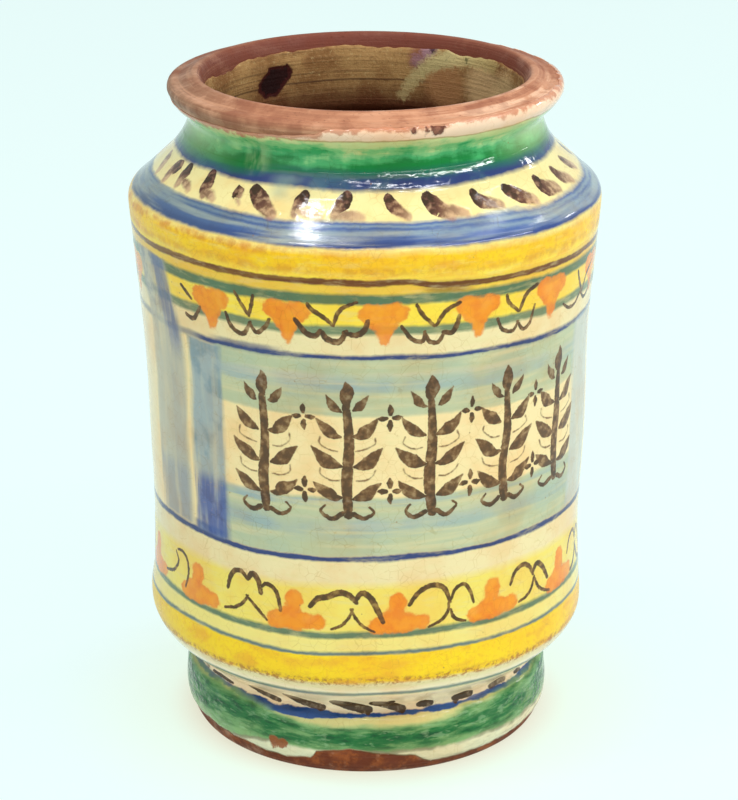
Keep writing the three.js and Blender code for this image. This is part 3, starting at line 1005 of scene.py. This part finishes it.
LOWER_RINGS = (
    ("straw", 56.8, 0.4), ("thin teal", 59.1, 0.6), ("pale lemon", 75.4, 1.5), ("pink", 83.8, 0.35),
    ("navy", 85.8, 0.45), ("panel", 96.0, 0.3),
)
UPPER_RINGS = (
    ("panel", 153.8, 0.4), ("navy", 155.7, 0.5), ("pink", 162.6, 0.6), ("grey teal", 165.8, 0.6),
    ("lemon", 173.0, 0.5), ("teal", 176.5, 0.6), ("ochre", 181.2, 0.5), ("lemon", 183.6, 0.9),
    ("gold", 189.8, 0.8), ("straw", 191.6, 0.5), ("deep blue", 193.4, 0.5),
)
SHOULDER_RINGS = (
    ("gold", 189.8, 0.8), ("straw", 191.6, 0.5), ("deep blue", 193.2, 0.5), ("blue", 194.7, 0.5),
    ("soft blue", 195.7, 0.4), ("blue", 196.5, 0.3), ("soft blue", 197.2, 0.3), ("blue", 198.0, 0.5),
    ("warm", 206.1, 0.7), ("navy", 210.2, 1.0), ("watery", 221.9, 0.2), ("joint", 222.5, 0.25),
    ("lip white", 230.0, 0.3),
)


def rings(height, bands, low, high):
    along = height.board.add("ShaderNodeMapRange", {0: height, 1: low, 2: high})
    ramp = height.board.add("ShaderNodeValToRGB", {0: along})
    stops = ramp.socket.node.color_ramp.elements
    while len(stops) > 1:
        stops.remove(stops[-1])
    stops[0].position, stops[0].color = 0.0, PAINTS[bands[0][0]]
    for (name, top, soft), (above, _, _) in zip(bands, bands[1:]):
        for spot, shade in ((top - soft, name), (top + soft, above)):
            stops.new((spot - low) / (high - low)).color = PAINTS[shade]
    return ramp


print(len(PAINTS), "paints,", sum(map(len, (FOOT_RINGS, LOWER_RINGS, UPPER_RINGS, SHOULDER_RINGS))), "rings")

# %% [markdown]
# The painting as one node group
# Rings on a pot are painted by holding a loaded brush still while the wheel turns. So a ring's
# colour depends on height alone, and a colour ramp along the height holds them in order. The
# hand shows in small waves, which come from adding noise to the height before the ramp reads it.
# The group is shared by the glaze coat and by every stroke that lies on it.

# %% Places and hands
def new_group(name, floats_in, outs):
    group = bpy.data.node_groups.new(name, "ShaderNodeTree")
    for title, start in floats_in:
        socket = group.interface.new_socket(title, in_out="INPUT", socket_type="NodeSocketFloat")
        socket.default_value = start
    for title, kind in outs:
        group.interface.new_socket(title, in_out="OUTPUT", socket_type="NodeSocket" + kind)
    return group


painting = new_group(
    "jar_painting", (("Ink depth", -9.0), ("Ink load", 0.0)), (
        ("Colour", "Color"), ("Roughness", "Float"), ("Relief", "Float"),
    )
)
board = Board(painting)
place = board.place_in_mm()
x, y, z = place.axes()
turn = board.calc("ARCTAN2", x, y * -1) * (180 / pi)
waver = place.stretch(24, 24, 8).grain(detail=3).sway(2.2)
bristle = place.grain(2.4, 3).sway(0.7)
side = abs(turn)
in_view = side.rise(150, 95)
high_lean = turn.rise(2, 52, 0, 1.7) - turn.rise(-22, -52, 0, 0.6)
high_lean = high_lean * z.band(120, 197.5, 3) * in_view
low_sag = turn.band(-42, -6, 16) * z.rise(110, 90, 0, 1)
lean = high_lean + low_sag
height = z + (waver + bristle + lean)
along_streaks = place.stretch(40, 40, 2.2).grain(detail=3)
upright_streaks = place.stretch(4.2, 4.2, 34).grain(detail=3)
blotches = place.grain(17, 3)
fine = place.grain(0.7, 3, 0.6)
edge_attribute = board.stored("edge_gap")
orange_attribute = board.stored("orange")
print("painting group started with", len(board.nodes), "nodes")

# %% Rings from foot to lip
colour = rings(height, FOOT_RINGS, 14, 60)
colour = layer(colour, height.rise(57.3, 57.5), rings(height, LOWER_RINGS, 55, 96))
colour = layer(colour, height.rise(110, 111), rings(height, UPPER_RINGS, 150, 194))
colour = layer(colour, height.rise(187, 187.4), rings(height, SHOULDER_RINGS, 186, 230))

# The blue line on the foot, heavy at the left and nearly dry in front
line_half = board.calc("MULTIPLY_ADD", place.grain(7, 3), 1.8, -0.15)
line_half = board.calc("MULTIPLY_ADD", turn.band(-44, -13, 5), 0.75, line_half)
line_away = abs(height - 22.4)
foot_blue = line_away.rise(line_half, line_half - 0.45)
foot_blue = foot_blue * along_streaks.rise(0.25, 0.5, 0.7, 1)
colour = layer(colour, foot_blue, PAINTS["foot blue"])

# The brown ring, which steps down where the brush met its own start, and bare spots in the blue
brown_height = height + turn.rise(9, 17, 0, 1.5) * in_view
brown = brown_height.band(179.5, 181.5, 0.35)
again = brown_height.band(178, 181.6, 0.7) * turn.band(14, 25, 3) * 0.7
brown = brown.most(again) * along_streaks.rise(0.25, 0.55, 0.8, 1)
colour = layer(colour, brown, PAINTS["umber"])
olive = height.band(173, 177.2, 0.4) * place.grain(12, 3).rise(0.46, 0.66)
colour = layer(colour, olive * 0.25, paint(122, 118, 34))
worn = place.stretch(9, 9, 2).grain(detail=4, rough=0.6).rise(0.48, 0.74) * z.band(50, 190, 1)
colour = layer(colour, worn * 0.34, paint(224, 206, 146))
thin_blue = height.band(191.6, 198.3, 0.4) * along_streaks.rise(0.42, 0.68) * turn.rise(-14, -22, 0.55, 0.95)
colour = layer(colour, thin_blue, paint(168, 178, 168))
left_blue = height.band(191.8, 198.3, 0.4) * turn.rise(-20, -46) * 0.4
colour = layer(colour, left_blue, paint(78, 98, 106))
neck_drip = height.band(202.5, 209, 1.6) * turn.band(-27, -13, 3.5) * blotches.rise(0.3, 0.6)
colour = layer(colour, neck_drip * 0.55, paint(134, 160, 150))
neck_pale = height.band(206.2, 210.4, 0.8) * place.grain(7, 3).rise(0.44, 0.66)
colour = layer(colour, neck_pale * 0.5, paint(72, 110, 122))
smear = height.band(84.6, 88.6, 0.8) * turn.band(-50, -38.5, 1.8)
heavy = height.band(153.4, 157, 0.7) * turn.band(-39, -22, 4) * 0.8
colour = layer(colour, smear.most(heavy) * 0.85, paint(56, 68, 112))
faint = height.band(153.2, 156.2, 0.4) * turn.rise(-42, -48) * 0.6
colour = layer(colour, faint, paint(190, 180, 150))
print("rings laid")

# %% Washes and pillars on the panel
streak_height = height + along_streaks.sway(9)
wash = height.band(134.5, 160, 0.7) + height.band(80, 106, 0.8)
panel_area = height.band(85.9, 154.1, 0.4) * turn.band(-39.5, 66, 1.2)
wash_tone = streak_height.band(143.5, 148, 2.2) + streak_height.band(94, 99, 2.4)
wash_tone = wash_tone + streak_height.band(103.2, 105.4, 0.9)
wash_tone = wash_tone * blotches.rise(0.34, 0.60, 0.25, 0.9) * turn.rise(60, -30, 0.55, 1)
wash_colour = layer(paint(176, 182, 146), wash_tone, paint(128, 154, 168))
wash_colour = layer(wash_colour, blotches.rise(0.46, 0.70) * 0.45, paint(150, 172, 156))
wash_share = wash * panel_area * along_streaks.rise(0.25, 0.6, 0.62, 0.92)
colour = layer(colour, wash_share, wash_colour)

brush_turn = turn + upright_streaks.sway(5)
deep_foot = z.band(84, 106, 3) * upright_streaks.rise(0.3, 0.6, 0.5, 1)
pillar_lean = brush_turn + z.rise(150, 178, 0, 5)
pillar_wide = pillar_lean.band(-67, -51.2, 1.6) * height.band(86, 177, 0.8)
pillar_narrow = brush_turn.band(-49, -37.8, 1.1) * height.band(85.5, 153.6, 0.8)
pillar_right = brush_turn.band(65, 80, 1.6) * height.band(86, 155, 0.8)
wide_colour = layer(paint(182, 174, 152), deep_foot * 0.5, paint(116, 128, 148))
upper_dark = z.rise(148, 166) * place.grain(6, 4, 0.6).rise(0.40, 0.62)
wide_colour = layer(wide_colour, upper_dark * 0.6, paint(96, 102, 116))
blue_side = pillar_lean.band(-58.5, -52, 1.4) * z.rise(142, 156, 0.15, 0.85)
wide_colour = layer(wide_colour, blue_side, paint(78, 96, 140))
narrow_colour = layer(paint(150, 162, 164), place.grain(8, 3).rise(0.45, 0.62), paint(118, 140, 150))
narrow_colour = layer(narrow_colour, deep_foot, paint(62, 84, 146))
swirl = z.band(85, 101, 3) * place.grain(5, 3).rise(0.46, 0.60)
narrow_colour = layer(narrow_colour, swirl * 0.6, paint(40, 58, 122))
dry = upright_streaks.rise(0.26, 0.56, 0.66, 0.94)
colour = layer(colour, pillar_wide * dry, wide_colour)
colour = layer(colour, pillar_narrow * dry, narrow_colour)
colour = layer(colour, pillar_right * dry * 0.8, paint(170, 180, 178))
print("panel washed")

# %% Orange dabs, green neck and green foot
orange_soft = orange_attribute + place.grain(2.2, 3).sway(2)
orange = orange_soft.rise(-0.35, 0.5) * blotches.rise(0.25, 0.65, 0.82, 0.96)
brush_marks = place.grain(3.4, 3).rise(0.38, 0.66)
orange_tint = layer(paint(238, 144, 8), brush_marks, paint(232, 124, 4))
rim_tint = orange_soft.band(-0.4, 0.7, 0.4) * 0.5
orange_tint = layer(orange_tint, rim_tint, paint(222, 124, 40))
orange_tint = layer(orange_tint, place.grain(8, 2).rise(0.52, 0.72, 0, 0.3), paint(238, 162, 66))
colour = layer(colour, orange, orange_tint)

run_down = upright_streaks.sway(7)
clouds = place.stretch(18, 18, 5).grain(detail=4, rough=0.55).sway(18)
neck_height = z + (run_down + clouds)
neck_depth = neck_height.rise(223, 209)
neck_green = layer(paint(214, 216, 150), neck_depth.rise(0.02, 0.26), paint(138, 198, 128))
neck_green = layer(neck_green, neck_depth.rise(0.26, 0.55), paint(66, 164, 96))
neck_green = layer(neck_green, neck_depth.rise(0.55, 0.9), paint(8, 118, 50))
drip = brush_turn.band(-38, -31, 2.5) * upright_streaks.rise(0.35, 0.6) * 0.5
neck_green = layer(neck_green, drip, paint(176, 204, 146))
side_pale = z.rise(209.5, 217, 0.3, 1) * side.rise(38, 68, 0, 0.85)
neck_green = layer(neck_green, side_pale, paint(182, 212, 152))
neck_low = turn.rise(-22, -46, 0, 1.9) + turn.rise(28, 56, 0, 1.3)
neck_low = height + neck_low
merge = neck_low.rise(213, 209.8) * along_streaks.rise(0.3, 0.6, 0.3, 0.8)
neck_green = layer(neck_green, merge, paint(36, 84, 98))
neck_share = neck_low.rise(208.2, 210.8) * height.rise(222.6, 221.4)
colour = layer(colour, neck_share, neck_green)

foot_height = z + place.stretch(14, 14, 5).grain(detail=3).sway(5)
foot_height = foot_height - side.rise(18, 44, 0, 3.4)
foot_clouds = place.stretch(12, 12, 2.6).grain(detail=4, rough=0.6)
foot_depth = foot_height.rise(20.2, 15.6) * z.rise(8.6, 12.6, 0.25, 1)
foot_depth = foot_depth * foot_clouds.rise(0.32, 0.58, 0.4, 1)
foot_green = layer(paint(146, 184, 120), foot_depth, paint(14, 108, 46))
foot_core = foot_height.band(10.6, 14.6, 1.5) * foot_clouds.rise(0.30, 0.50) * 0.75
foot_green = layer(foot_green, foot_core, paint(10, 100, 44))
foot_green = layer(foot_green, foot_clouds.rise(0.52, 0.64) * foot_depth * 0.6, paint(4, 54, 26))
watery = place.stretch(6, 6, 2).grain(detail=3, rough=0.6).rise(0.56, 0.66)
foot_green = layer(foot_green, watery * 0.3, paint(166, 200, 152))
foot_low = z + place.grain(9, 3).sway(4)
foot_low = foot_low + turn.rise(-34, -54, 0, 4)
foot_share = foot_height.rise(20, 17.6) * foot_low.rise(8.4, 10) * z.rise(40, 30)
foot_share = foot_share * edge_attribute.rise(0.2, 0.9)
foot_line = foot_low.band(8.2, 9.6, 0.5) * z.rise(40, 30) * blotches.rise(0.40, 0.58)
colour = layer(colour, foot_low.rise(12.5, 9.5), paint(228, 220, 184))
colour = layer(colour, foot_share, foot_green)
colour = layer(colour, foot_line * 0.6, paint(78, 74, 34))
near_foot = z.rise(40, 30)
colour = layer(colour, edge_attribute.rise(0.9, 0.2) * near_foot * 0.75, paint(120, 84, 48))
worn_lip = edge_attribute + place.grain(3.2, 4, 0.6).sway(5)
worn_lip = worn_lip.rise(1.6, 0.5) * z.rise(217, 220)
colour = layer(colour, worn_lip, paint(196, 140, 110))
print("greens laid, nodes:", len(board.nodes))

# %% [markdown]
# Age in the glaze
# Yellow is a coarse pigment that burns brown and grainy at its edges. The glaze is crazed all
# over with a fine net, has pinholes from the firing, and is stained where dirt went in. Brown ink
# is laid last here, because it is the darkest and the staining shows over it too.

# %% Grain, stain, ink and crazing
in_yellow = height.band(40.2, 50.4, 0.5) + height.band(181.4, 191.2, 0.5)
burnt = height.band(39.6, 42.6, 0.9)
margin = height.band(188.4, 191, 1) * turn.rise(10, -40, 0.15, 1) * place.grain(3.4, 4, 0.6).rise(0.36, 0.62)
colour = layer(colour, margin * 0.7, paint(196, 122, 40))
low_margin = height.band(182.9, 185.4, 0.9) * place.grain(4.5, 4, 0.6).rise(0.40, 0.60) * 0.5
colour = layer(colour, low_margin, paint(204, 138, 36))
specks = place.grain(1.5, 4, 0.65).rise(0.50, 0.64)
colour = layer(colour, burnt * place.grain(1.8, 4, 0.7).rise(0.44, 0.60) * 0.85, paint(166, 98, 30))
colour = layer(colour, in_yellow * specks * 0.30, paint(222, 150, 34))
toasted = place.stretch(14, 14, 5).grain(detail=4).rise(0.46, 0.70) * in_yellow
colour = layer(colour, toasted * z.rise(196, 186, 0.35, 0.5), paint(226, 148, 40))
stain = place.grain(22, 4, 0.6).rise(0.40, 0.68, 0, 0.65)
colour = layer(colour, stain, paint(252, 226, 206), "MULTIPLY")
plain_ground = height.band(76, 163, 1) * place.grain(14, 2).rise(0.45, 0.7)
flecks = place.stretch(2.2, 2.2, 0.8).grain(detail=3, rough=0.6).rise(0.62, 0.70)
colour = layer(colour, plain_ground * flecks * 0.45, paint(190, 150, 84))

given = board.nodes.new("NodeGroupInput").outputs
ink_depth, ink_load = Wire(board, given["Ink depth"]), Wire(board, given["Ink load"])
ink_edge = ink_depth + place.grain(1.1, 3).sway(0.7)
ink_mask = ink_edge.rise(-0.10, ink_load.rise(0.85, 0.45, 0.14, 1.1))
pooled = ink_load * place.grain(2.4, 3).rise(0.28, 0.62, 0.62, 1.08)
on_shoulder = z.rise(184, 192)
ink_thin = layer(paint(150, 108, 62), on_shoulder, paint(170, 118, 104))
ink_full = layer(paint(108, 68, 30), on_shoulder, paint(100, 60, 52))
ink_thick = layer(paint(66, 40, 16), on_shoulder, paint(46, 26, 24))
ink_colour = layer(ink_thin, pooled.rise(0.30, 0.68), ink_full)
ink_colour = layer(ink_colour, pooled.rise(0.66, 0.98), ink_thick)
ink_colour = layer(ink_colour, z.rise(40, 30, 0, 0.75), paint(64, 38, 10))
ink_share = ink_mask * pooled.rise(0.2, 0.8, 0.58, 0.97)
colour = layer(colour, ink_share, ink_colour)

pull = board.add("ShaderNodeTexNoise", {"Vector": place, "Scale": 1 / 4}, 1)
bent = board.add("ShaderNodeVectorMath", {0: place, 1: pull}, operation="ADD")
net = bent.cracks(3.4).rise(0.034, 0.008)
net = net * place.grain(7, 3).rise(0.40, 0.62, 0.1, 1)
colour = layer(colour, net * 0.26, paint(196, 160, 88), "MULTIPLY")
pits = board.add("ShaderNodeTexVoronoi", {"Vector": place, "Scale": 1 / 5.2}, feature="F1")
pit = pits.rise(0.075, 0.035) * place.grain(8, 2).rise(0.52, 0.60)
colour = layer(colour, pit * 0.6, paint(150, 104, 60))
print("aged, nodes:", len(board.nodes))

# %% Chips, roughness and relief
flaked = edge_attribute.rise(0.9, 0.3) * near_foot * place.grain(7, 3).rise(0.46, 0.60, 0.1, 0.8)
bitten = place.grain(2.6, 4, 0.6).sway(4.4)
for turn_at, height_at, size in CHIPS:
    spot = on_jar(radians(turn_at), float(outside_radius(height_at)), height_at) / MM
    flaked = flaked.most((place.away_from(spot) + bitten).rise(size + 0.4, size - 0.4))
chip_colour = layer(paint(150, 76, 34), z.rise(120, 180), paint(82, 30, 18))
chip_colour = layer(chip_colour, place.grain(1.6, 3).rise(0.45, 0.65, 0, 0.6), paint(150, 84, 58))
colour = layer(colour, flaked * 0.92, chip_colour)

roughness = board.calc("MULTIPLY_ADD", in_yellow, 0.16, blotches.rise(0.3, 0.7, 0.09, 0.17))
roughness = roughness * z.rise(198, 209, 1, 0.5)
roughness = roughness.most(flaked * 0.8)
peel_depth = z.rise(198, 203, 0.06, 0.12) + z.band(206, 210.4, 0.8)
peel_depth = peel_depth * z.rise(209.5, 212, 1, 0.25)
orange_peel = place.grain(5, 2) * board.calc("MINIMUM", peel_depth, 0.20)
runs = place.stretch(4.5, 4.5, 2.2).grain(detail=2) * z.rise(24, 18, 0, 0.9)
orange_peel = orange_peel + runs
throwing = place.stretch(60, 60, 1.6).grain(detail=2) * 0.05
relief = orange_peel + throwing
relief = board.calc("MULTIPLY_ADD", net, -0.006, relief)
relief = board.calc("MULTIPLY_ADD", pit, -0.04, relief)
relief = board.calc("MULTIPLY_ADD", in_yellow * fine, 0.02, relief)
relief = board.calc("MULTIPLY_ADD", flaked * fine, 0.15, relief)
board.feed(board.nodes.new("NodeGroupOutput"), enumerate((colour, roughness, relief)))
print("painting group has", len(board.nodes), "nodes")

# %% [markdown]
# Glaze, ink and clay as materials
# The glaze is one shader with the group behind it, smooth enough for sharp reflections and broken
# by a slight orange peel. The strokes use the same shader, but hand the group how deep in the ink
# each point is. Clay is dull and striped along the potter's fingers, paler at the rubbed lip.

# %% Glaze materials
def shader_board(name):
    material = bpy.data.materials.new(name)
    material.use_nodes = True
    board = Board(material.node_tree)
    shader = next(node for node in board.nodes if node.type == "BSDF_PRINCIPLED")
    return material, board, shader


def coat(board, shader, colour, roughness, relief, shine):
    bump = board.add("ShaderNodeBump", {"Height": relief, "Distance": MM, "Strength": 1.0})
    feeds = {"Base Color": colour, "Roughness": roughness, "Normal": bump, "Specular IOR Level": shine}
    board.feed(shader, feeds)


def glaze(name, inked):
    material, board, shader = shader_board(name)
    group = board.nodes.new("ShaderNodeGroup")
    group.node_tree = painting
    if inked:
        board.feed(group, {"Ink depth": board.stored("ink_depth"), "Ink load": board.stored("ink_load")})
    coat(board, shader, *(Wire(board, socket) for socket in group.outputs), 0.34)
    return material


painted_glaze = glaze("painted_glaze", False)
manganese_ink = glaze("manganese_ink", True)
glaze_coat.data.materials.append(painted_glaze)
brushwork = (brush_dabs_shoulder, brush_fringe_upper, brush_fringe_lower, brush_dabs_foot, brush_frieze)
for piece in brushwork:
    piece.data.materials.append(manganese_ink)
print("glaze on", 1 + len(brushwork), "pieces")

# %% Clay material
def red_clay():
    material, board, shader = shader_board("red_clay")
    place = board.place_in_mm()
    x, y, z = place.axes()
    lines = place.stretch(50, 50, 0.9).grain(detail=4, rough=0.6)
    blots = place.grain(9, 4, 0.6)
    grit = place.grain(0.8, 3, 0.6)
    width = board.calc("SQRT", board.calc("MULTIPLY_ADD", x, x, y * y))
    # Painted shade on the lip: darker towards the shaded left, darker at the back (where the clay is also
    # redder) and darkest where the lip turns down into the mouth.
    lip_colour_with_painted_shade = layer(paint(180, 123, 91), x.rise(-25, -66), paint(144, 106, 80))
    lip_colour_with_painted_shade = layer(lip_colour_with_painted_shade, y.rise(-20, 60), paint(122, 68, 52))
    lip_colour_with_painted_shade = layer(lip_colour_with_painted_shade, width.rise(56.4, 54.6, 0, 0.85), paint(104, 46, 32))
    foot_colour = layer(paint(106, 44, 14), place.grain(5, 4, 0.65).rise(0.42, 0.66), paint(158, 80, 32))
    colour = layer(foot_colour, z.rise(100, 215), lip_colour_with_painted_shade)
    colour = layer(colour, lines.rise(0.45, 0.72) * 0.5, paint(128, 76, 56))
    # Painted light: the pale streaks and blots of the clay grain are kept to the lit front of the lip and
    # fade towards the back.
    lit_front_share = y.rise(40, -30, 0.15, 1)
    colour = layer(colour, lines.rise(0.50, 0.30) * z.rise(215, 222) * lit_front_share * 0.55, paint(214, 160, 126))
    rubbed = x.rise(12, 44) * y.rise(14, -24) * z.rise(221, 225)
    rubbed = rubbed * lines.rise(0.54, 0.44) * blots.rise(0.40, 0.54)
    colour = layer(colour, rubbed * 0.6, paint(234, 194, 162))
    colour = layer(colour, blots.rise(0.50, 0.66) * 0.40, paint(116, 58, 42))
    colour = layer(colour, blots.rise(0.48, 0.34) * lit_front_share * 0.35, paint(212, 158, 124))
    pores = grit.rise(0.36, 0.28)
    colour = layer(colour, pores * 0.55, paint(88, 46, 34))
    relief = board.calc("MULTIPLY_ADD", lines, 0.22, grit * 0.10)
    relief = board.calc("MULTIPLY_ADD", pores, -0.10, relief)
    coat(board, shader, colour, blots.rise(0.3, 0.7, 0.42, 0.72), relief, 0.22)
    return material


clay_jar.data.materials.append(red_clay())

# %% [markdown]
# The inside
# The lining is a thin, sandy, olive-brown coat with the rings of the potter's fingers and the dried
# rests of what was kept. A violet stain and a paler crust run down from the lip on one side, and
# the flaked patch shows nearly black. Noise alone would scatter such marks anywhere, so each rest
# has its own line in a list: degrees from the front, height, size, colour and strength.

# %% Rests on the lining
REST_RADIUS = 53.5
RESTS = (
    (147, 214, 11.0, (168, 120, 78), 0.75), (128, 215, 12.0, (206, 170, 122), 0.85),
    (113, 214, 12.0, (212, 178, 128), 0.85), (100, 213, 11.0, (206, 168, 118), 0.8),
    (158, 222, 6.5, (122, 66, 52), 0.7), (155, 225, 4.0, (150, 116, 126), 0.8),
    (159, 221, 4.0, (142, 104, 112), 0.75), (153.5, 225.6, 2.0, (52, 28, 40), 0.9),
    (165, 209, 3.2, (166, 144, 98), 0.85), (163.4, 211.6, 3.4, (172, 150, 102), 0.85),
    (161.4, 214, 3.6, (176, 156, 106), 0.85), (159.2, 216.3, 3.8, (180, 160, 110), 0.9),
    (156.6, 218.5, 4.0, (182, 164, 112), 0.9), (153.4, 220.4, 4.2, (184, 166, 114), 0.9),
    (149.6, 222, 4.4, (186, 168, 116), 0.9), (145.4, 223.2, 4.6, (188, 170, 118), 0.9),
    (141, 224, 4.6, (186, 166, 114), 0.9), (136.6, 224.4, 4.5, (182, 162, 110), 0.9),
    (132.2, 224.4, 4.4, (178, 156, 104), 0.85), (127.8, 224.2, 4.2, (172, 150, 98), 0.85),
    (123.4, 223.6, 4.0, (166, 142, 90), 0.8), (147, 222.8, 1.2, (84, 84, 46), 0.8),
    (138, 223.6, 1.3, (80, 78, 44), 0.8),
)
print(len(RESTS), "rests, the first at", RESTS[0][0], "degrees")

# %% Lining material
def sandy_lining():
    material, board, shader = shader_board("sandy_lining")
    place = board.place_in_mm()
    x, y, z = place.axes()
    scar = board.stored("scar")
    lines = place.stretch(46, 46, 1.1).grain(detail=4, rough=0.6)
    sand = place.grain(1.1, 4, 0.7)
    blots = place.grain(12, 4, 0.6)
    colour = layer(paint(164, 126, 78), blots.rise(0.35, 0.65), paint(128, 88, 50))
    colour = layer(colour, lines.rise(0.52, 0.70) * 0.6, paint(98, 70, 44))
    colour = layer(colour, sand.rise(0.55, 0.70) * 0.45, paint(92, 68, 44))
    colour = layer(colour, sand.rise(0.45, 0.30) * 0.40, paint(196, 176, 122))
    # Painted shade: the lining turns dark brown below the lip, where the throat lies in shadow; lower down it
    # lightens again.
    colour = layer(colour, z.rise(217, 203) * 0.95, paint(70, 26, 10))
    colour = layer(
        colour, z.rise(170, 110, 0, 0.9),
        layer(paint(140, 104, 66), blots.rise(0.4, 0.6), paint(112, 78, 46)),
    )
    colour = layer(colour, (z + blots.sway(1.2)).band(213.7, 214.3, 0.25) * 0.7, paint(58, 34, 22))
    for turn_at, height_at, size, shade, share in RESTS:
        spot = on_jar(radians(turn_at), REST_RADIUS, height_at) / MM
        away = place.away_from(spot) + sand.sway(5)
        colour = layer(colour, away.rise(size, size * 0.45) * share, paint(*shade))
    colour = layer(colour, (scar + sand.sway(0.4)).rise(0.3, 0.7), paint(58, 16, 12))
    colour = layer(colour, (scar + blots.sway(0.2)).rise(0.93, 1, 0, 0.8), paint(22, 5, 5))
    relief = board.calc("MULTIPLY_ADD", lines, 0.30, sand * 0.32)
    coat(board, shader, colour, sand.rise(0.3, 0.7, 0.5, 0.78), relief, 0.15)
    return material


lining_coat.data.materials.append(sandy_lining())

# %% [markdown]
# Table, lamps and sky
# A jar like this is shown on a pale sheet in an evenly lit room. The sheet looks evenly pale to the
# eye of the camera and keeps only a faint shadow, so part of its brightness is a glow that only
# camera, glossy and clear rays see. The shapes of the lamps show in the wet glaze of the neck and
# shoulder, so there are three thin tubes and a few small panes where the highlights lie, and one
# wide, soft lamp fills in from the left.

# %% Table
SHEET = paint(234, 254, 252)


def seen_directly(board):
    rays = board.nodes.new("ShaderNodeLightPath").outputs
    camera_ray, glossy_ray, clear_ray = (
        Wire(board, rays[f"Is {kind} Ray"]) for kind in ("Camera", "Glossy", "Transmission")
    )
    return camera_ray.most(glossy_ray).most(clear_ray)


def dimmed(share):
    return (*(v * share for v in SHEET[:3]), 1.0)


def pale_sheet():
    material = bpy.data.materials.new("pale_sheet")
    material.use_nodes = True
    board = Board(material.node_tree)
    board.nodes.clear()
    away = board.add(
        "ShaderNodeVectorMath", {0: board.add("ShaderNodeTexCoord", pick=3)}, 1, operation="LENGTH",
    )
    # Painted on the sheet round the foot: a faint warm tint of light bounced from the jar, and closer in a
    # warmer, darker ring that is a painted contact shadow.
    shade = layer(paint(238, 254, 236), away.rise(0.058, 0.12), SHEET)
    shade = layer(shade, away.rise(0.074, 0.057, 0, 0.65), paint(238, 222, 196))
    plain = board.add("ShaderNodeBsdfDiffuse", {"Color": dimmed(0.86)})
    glow = board.add("ShaderNodeEmission", {"Color": shade, "Strength": 0.87})
    part = board.add("ShaderNodeBsdfDiffuse", {"Color": dimmed(0.15)})
    bright = board.add("ShaderNodeAddShader", {0: glow, 1: part})
    mixed = board.add("ShaderNodeMixShader", {0: seen_directly(board), 1: plain, 2: bright})
    board.feed(board.nodes.new("ShaderNodeOutputMaterial"), {0: mixed})
    return material


bm = bmesh.new()
bmesh.ops.create_grid(bm, x_segments=2, y_segments=2, size=6.0)
table = finished(bm, "table_sheet", pale_sheet())
table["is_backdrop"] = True

# %% Lamps
def soft_lamp(name, place, aim, wide, tall, power):
    light = bpy.data.lights.new(name, "AREA")
    light.shape, light.size, light.size_y = "RECTANGLE", wide, tall
    light.energy = power
    lamp = bpy.data.objects.new(name, light)
    bpy.context.collection.objects.link(lamp)
    facing = (Vector(aim) - Vector(place)).to_track_quat("-Z", "Y").to_matrix().to_4x4()
    lamp.matrix_world = Matrix.Translation(place) @ facing
    return lamp


def strip_lamp(name, start, end, wide, power):
    start, end, aim = Vector(start), Vector(end), Vector((0, 0, 0.2))
    middle, along = (start + end) / 2, (end - start).normalized()
    lamp = soft_lamp(name, middle, aim, (end - start).length, wide, power)
    back = (middle - aim) - along * (middle - aim).dot(along)
    back.normalize()
    turned_to = Matrix((along, back.cross(along), back)).transposed()
    lamp.matrix_world = Matrix.Translation(middle) @ turned_to.to_4x4()
    return lamp


strip_lamp("tube_neck", (0.22, -1.02, 0.99), (1.21, -0.04, 0.67), 0.032, 6.0)
strip_lamp("tube_near", (-0.33, -1.25, 1.51), (1.09, -0.57, 1.51), 0.040, 7.4)
strip_lamp("tube_far", (-0.20, -0.21, 1.5), (1.43, 0.88, 1.5), 0.032, 5.2)
soft_lamp("pane", (1.085, 0.577, 0.63), (0, 0, 0.2), 0.16, 0.08, 1.0)
soft_lamp("spot_left", (-0.40, -0.22, 1.5), (0, 0, 0.2), 0.15, 0.19, 4.0)
soft_lamp("patch_left", (-0.41, -0.50, 1.5), (0, 0, 0.2), 0.34, 0.12, 2.4)
soft_lamp("patch_right", (1.05, 0.20, 1.5), (0, 0, 0.2), 0.10, 0.85, 2.0)
soft_lamp("room_fill", (-1.1, -1.3, 1.0), (0, 0, 0.1), 1.8, 1.4, 4.8)
print("eight lamps")

# %% Sky
world = bpy.data.worlds.new("soft_room")
bpy.context.scene.world = world
world.use_nodes = True
board = Board(world.node_tree)
board.nodes.clear()
upward = board.add("ShaderNodeSeparateXYZ", {0: board.add("ShaderNodeTexCoord", pick=0)}, 2)
room = layer(SHEET, upward.rise(0.05, 0.70), (0.36, 0.38, 0.38, 1.0))
sky = board.add("ShaderNodeBackground", {0: room, 1: 0.85})
board.feed(board.nodes.new("ShaderNodeOutputWorld"), {0: sky})
print("room light set")

# %% [markdown]
# View and sizes
# The Standard view shows each colour as it is written. The sizes of the CAD model and of the
# finished jar are written side by side, so that anyone can see that the dressing hasn't changed
# the jar's dimensions.

# %% Finish
bpy.context.scene.view_settings.view_transform = "Standard"
jar_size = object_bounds()
for name, size in (("CAD", cad_size), ("jar", jar_size)):
    print(name, [[round(v / MM, 2) for v in corner] for corner in size])
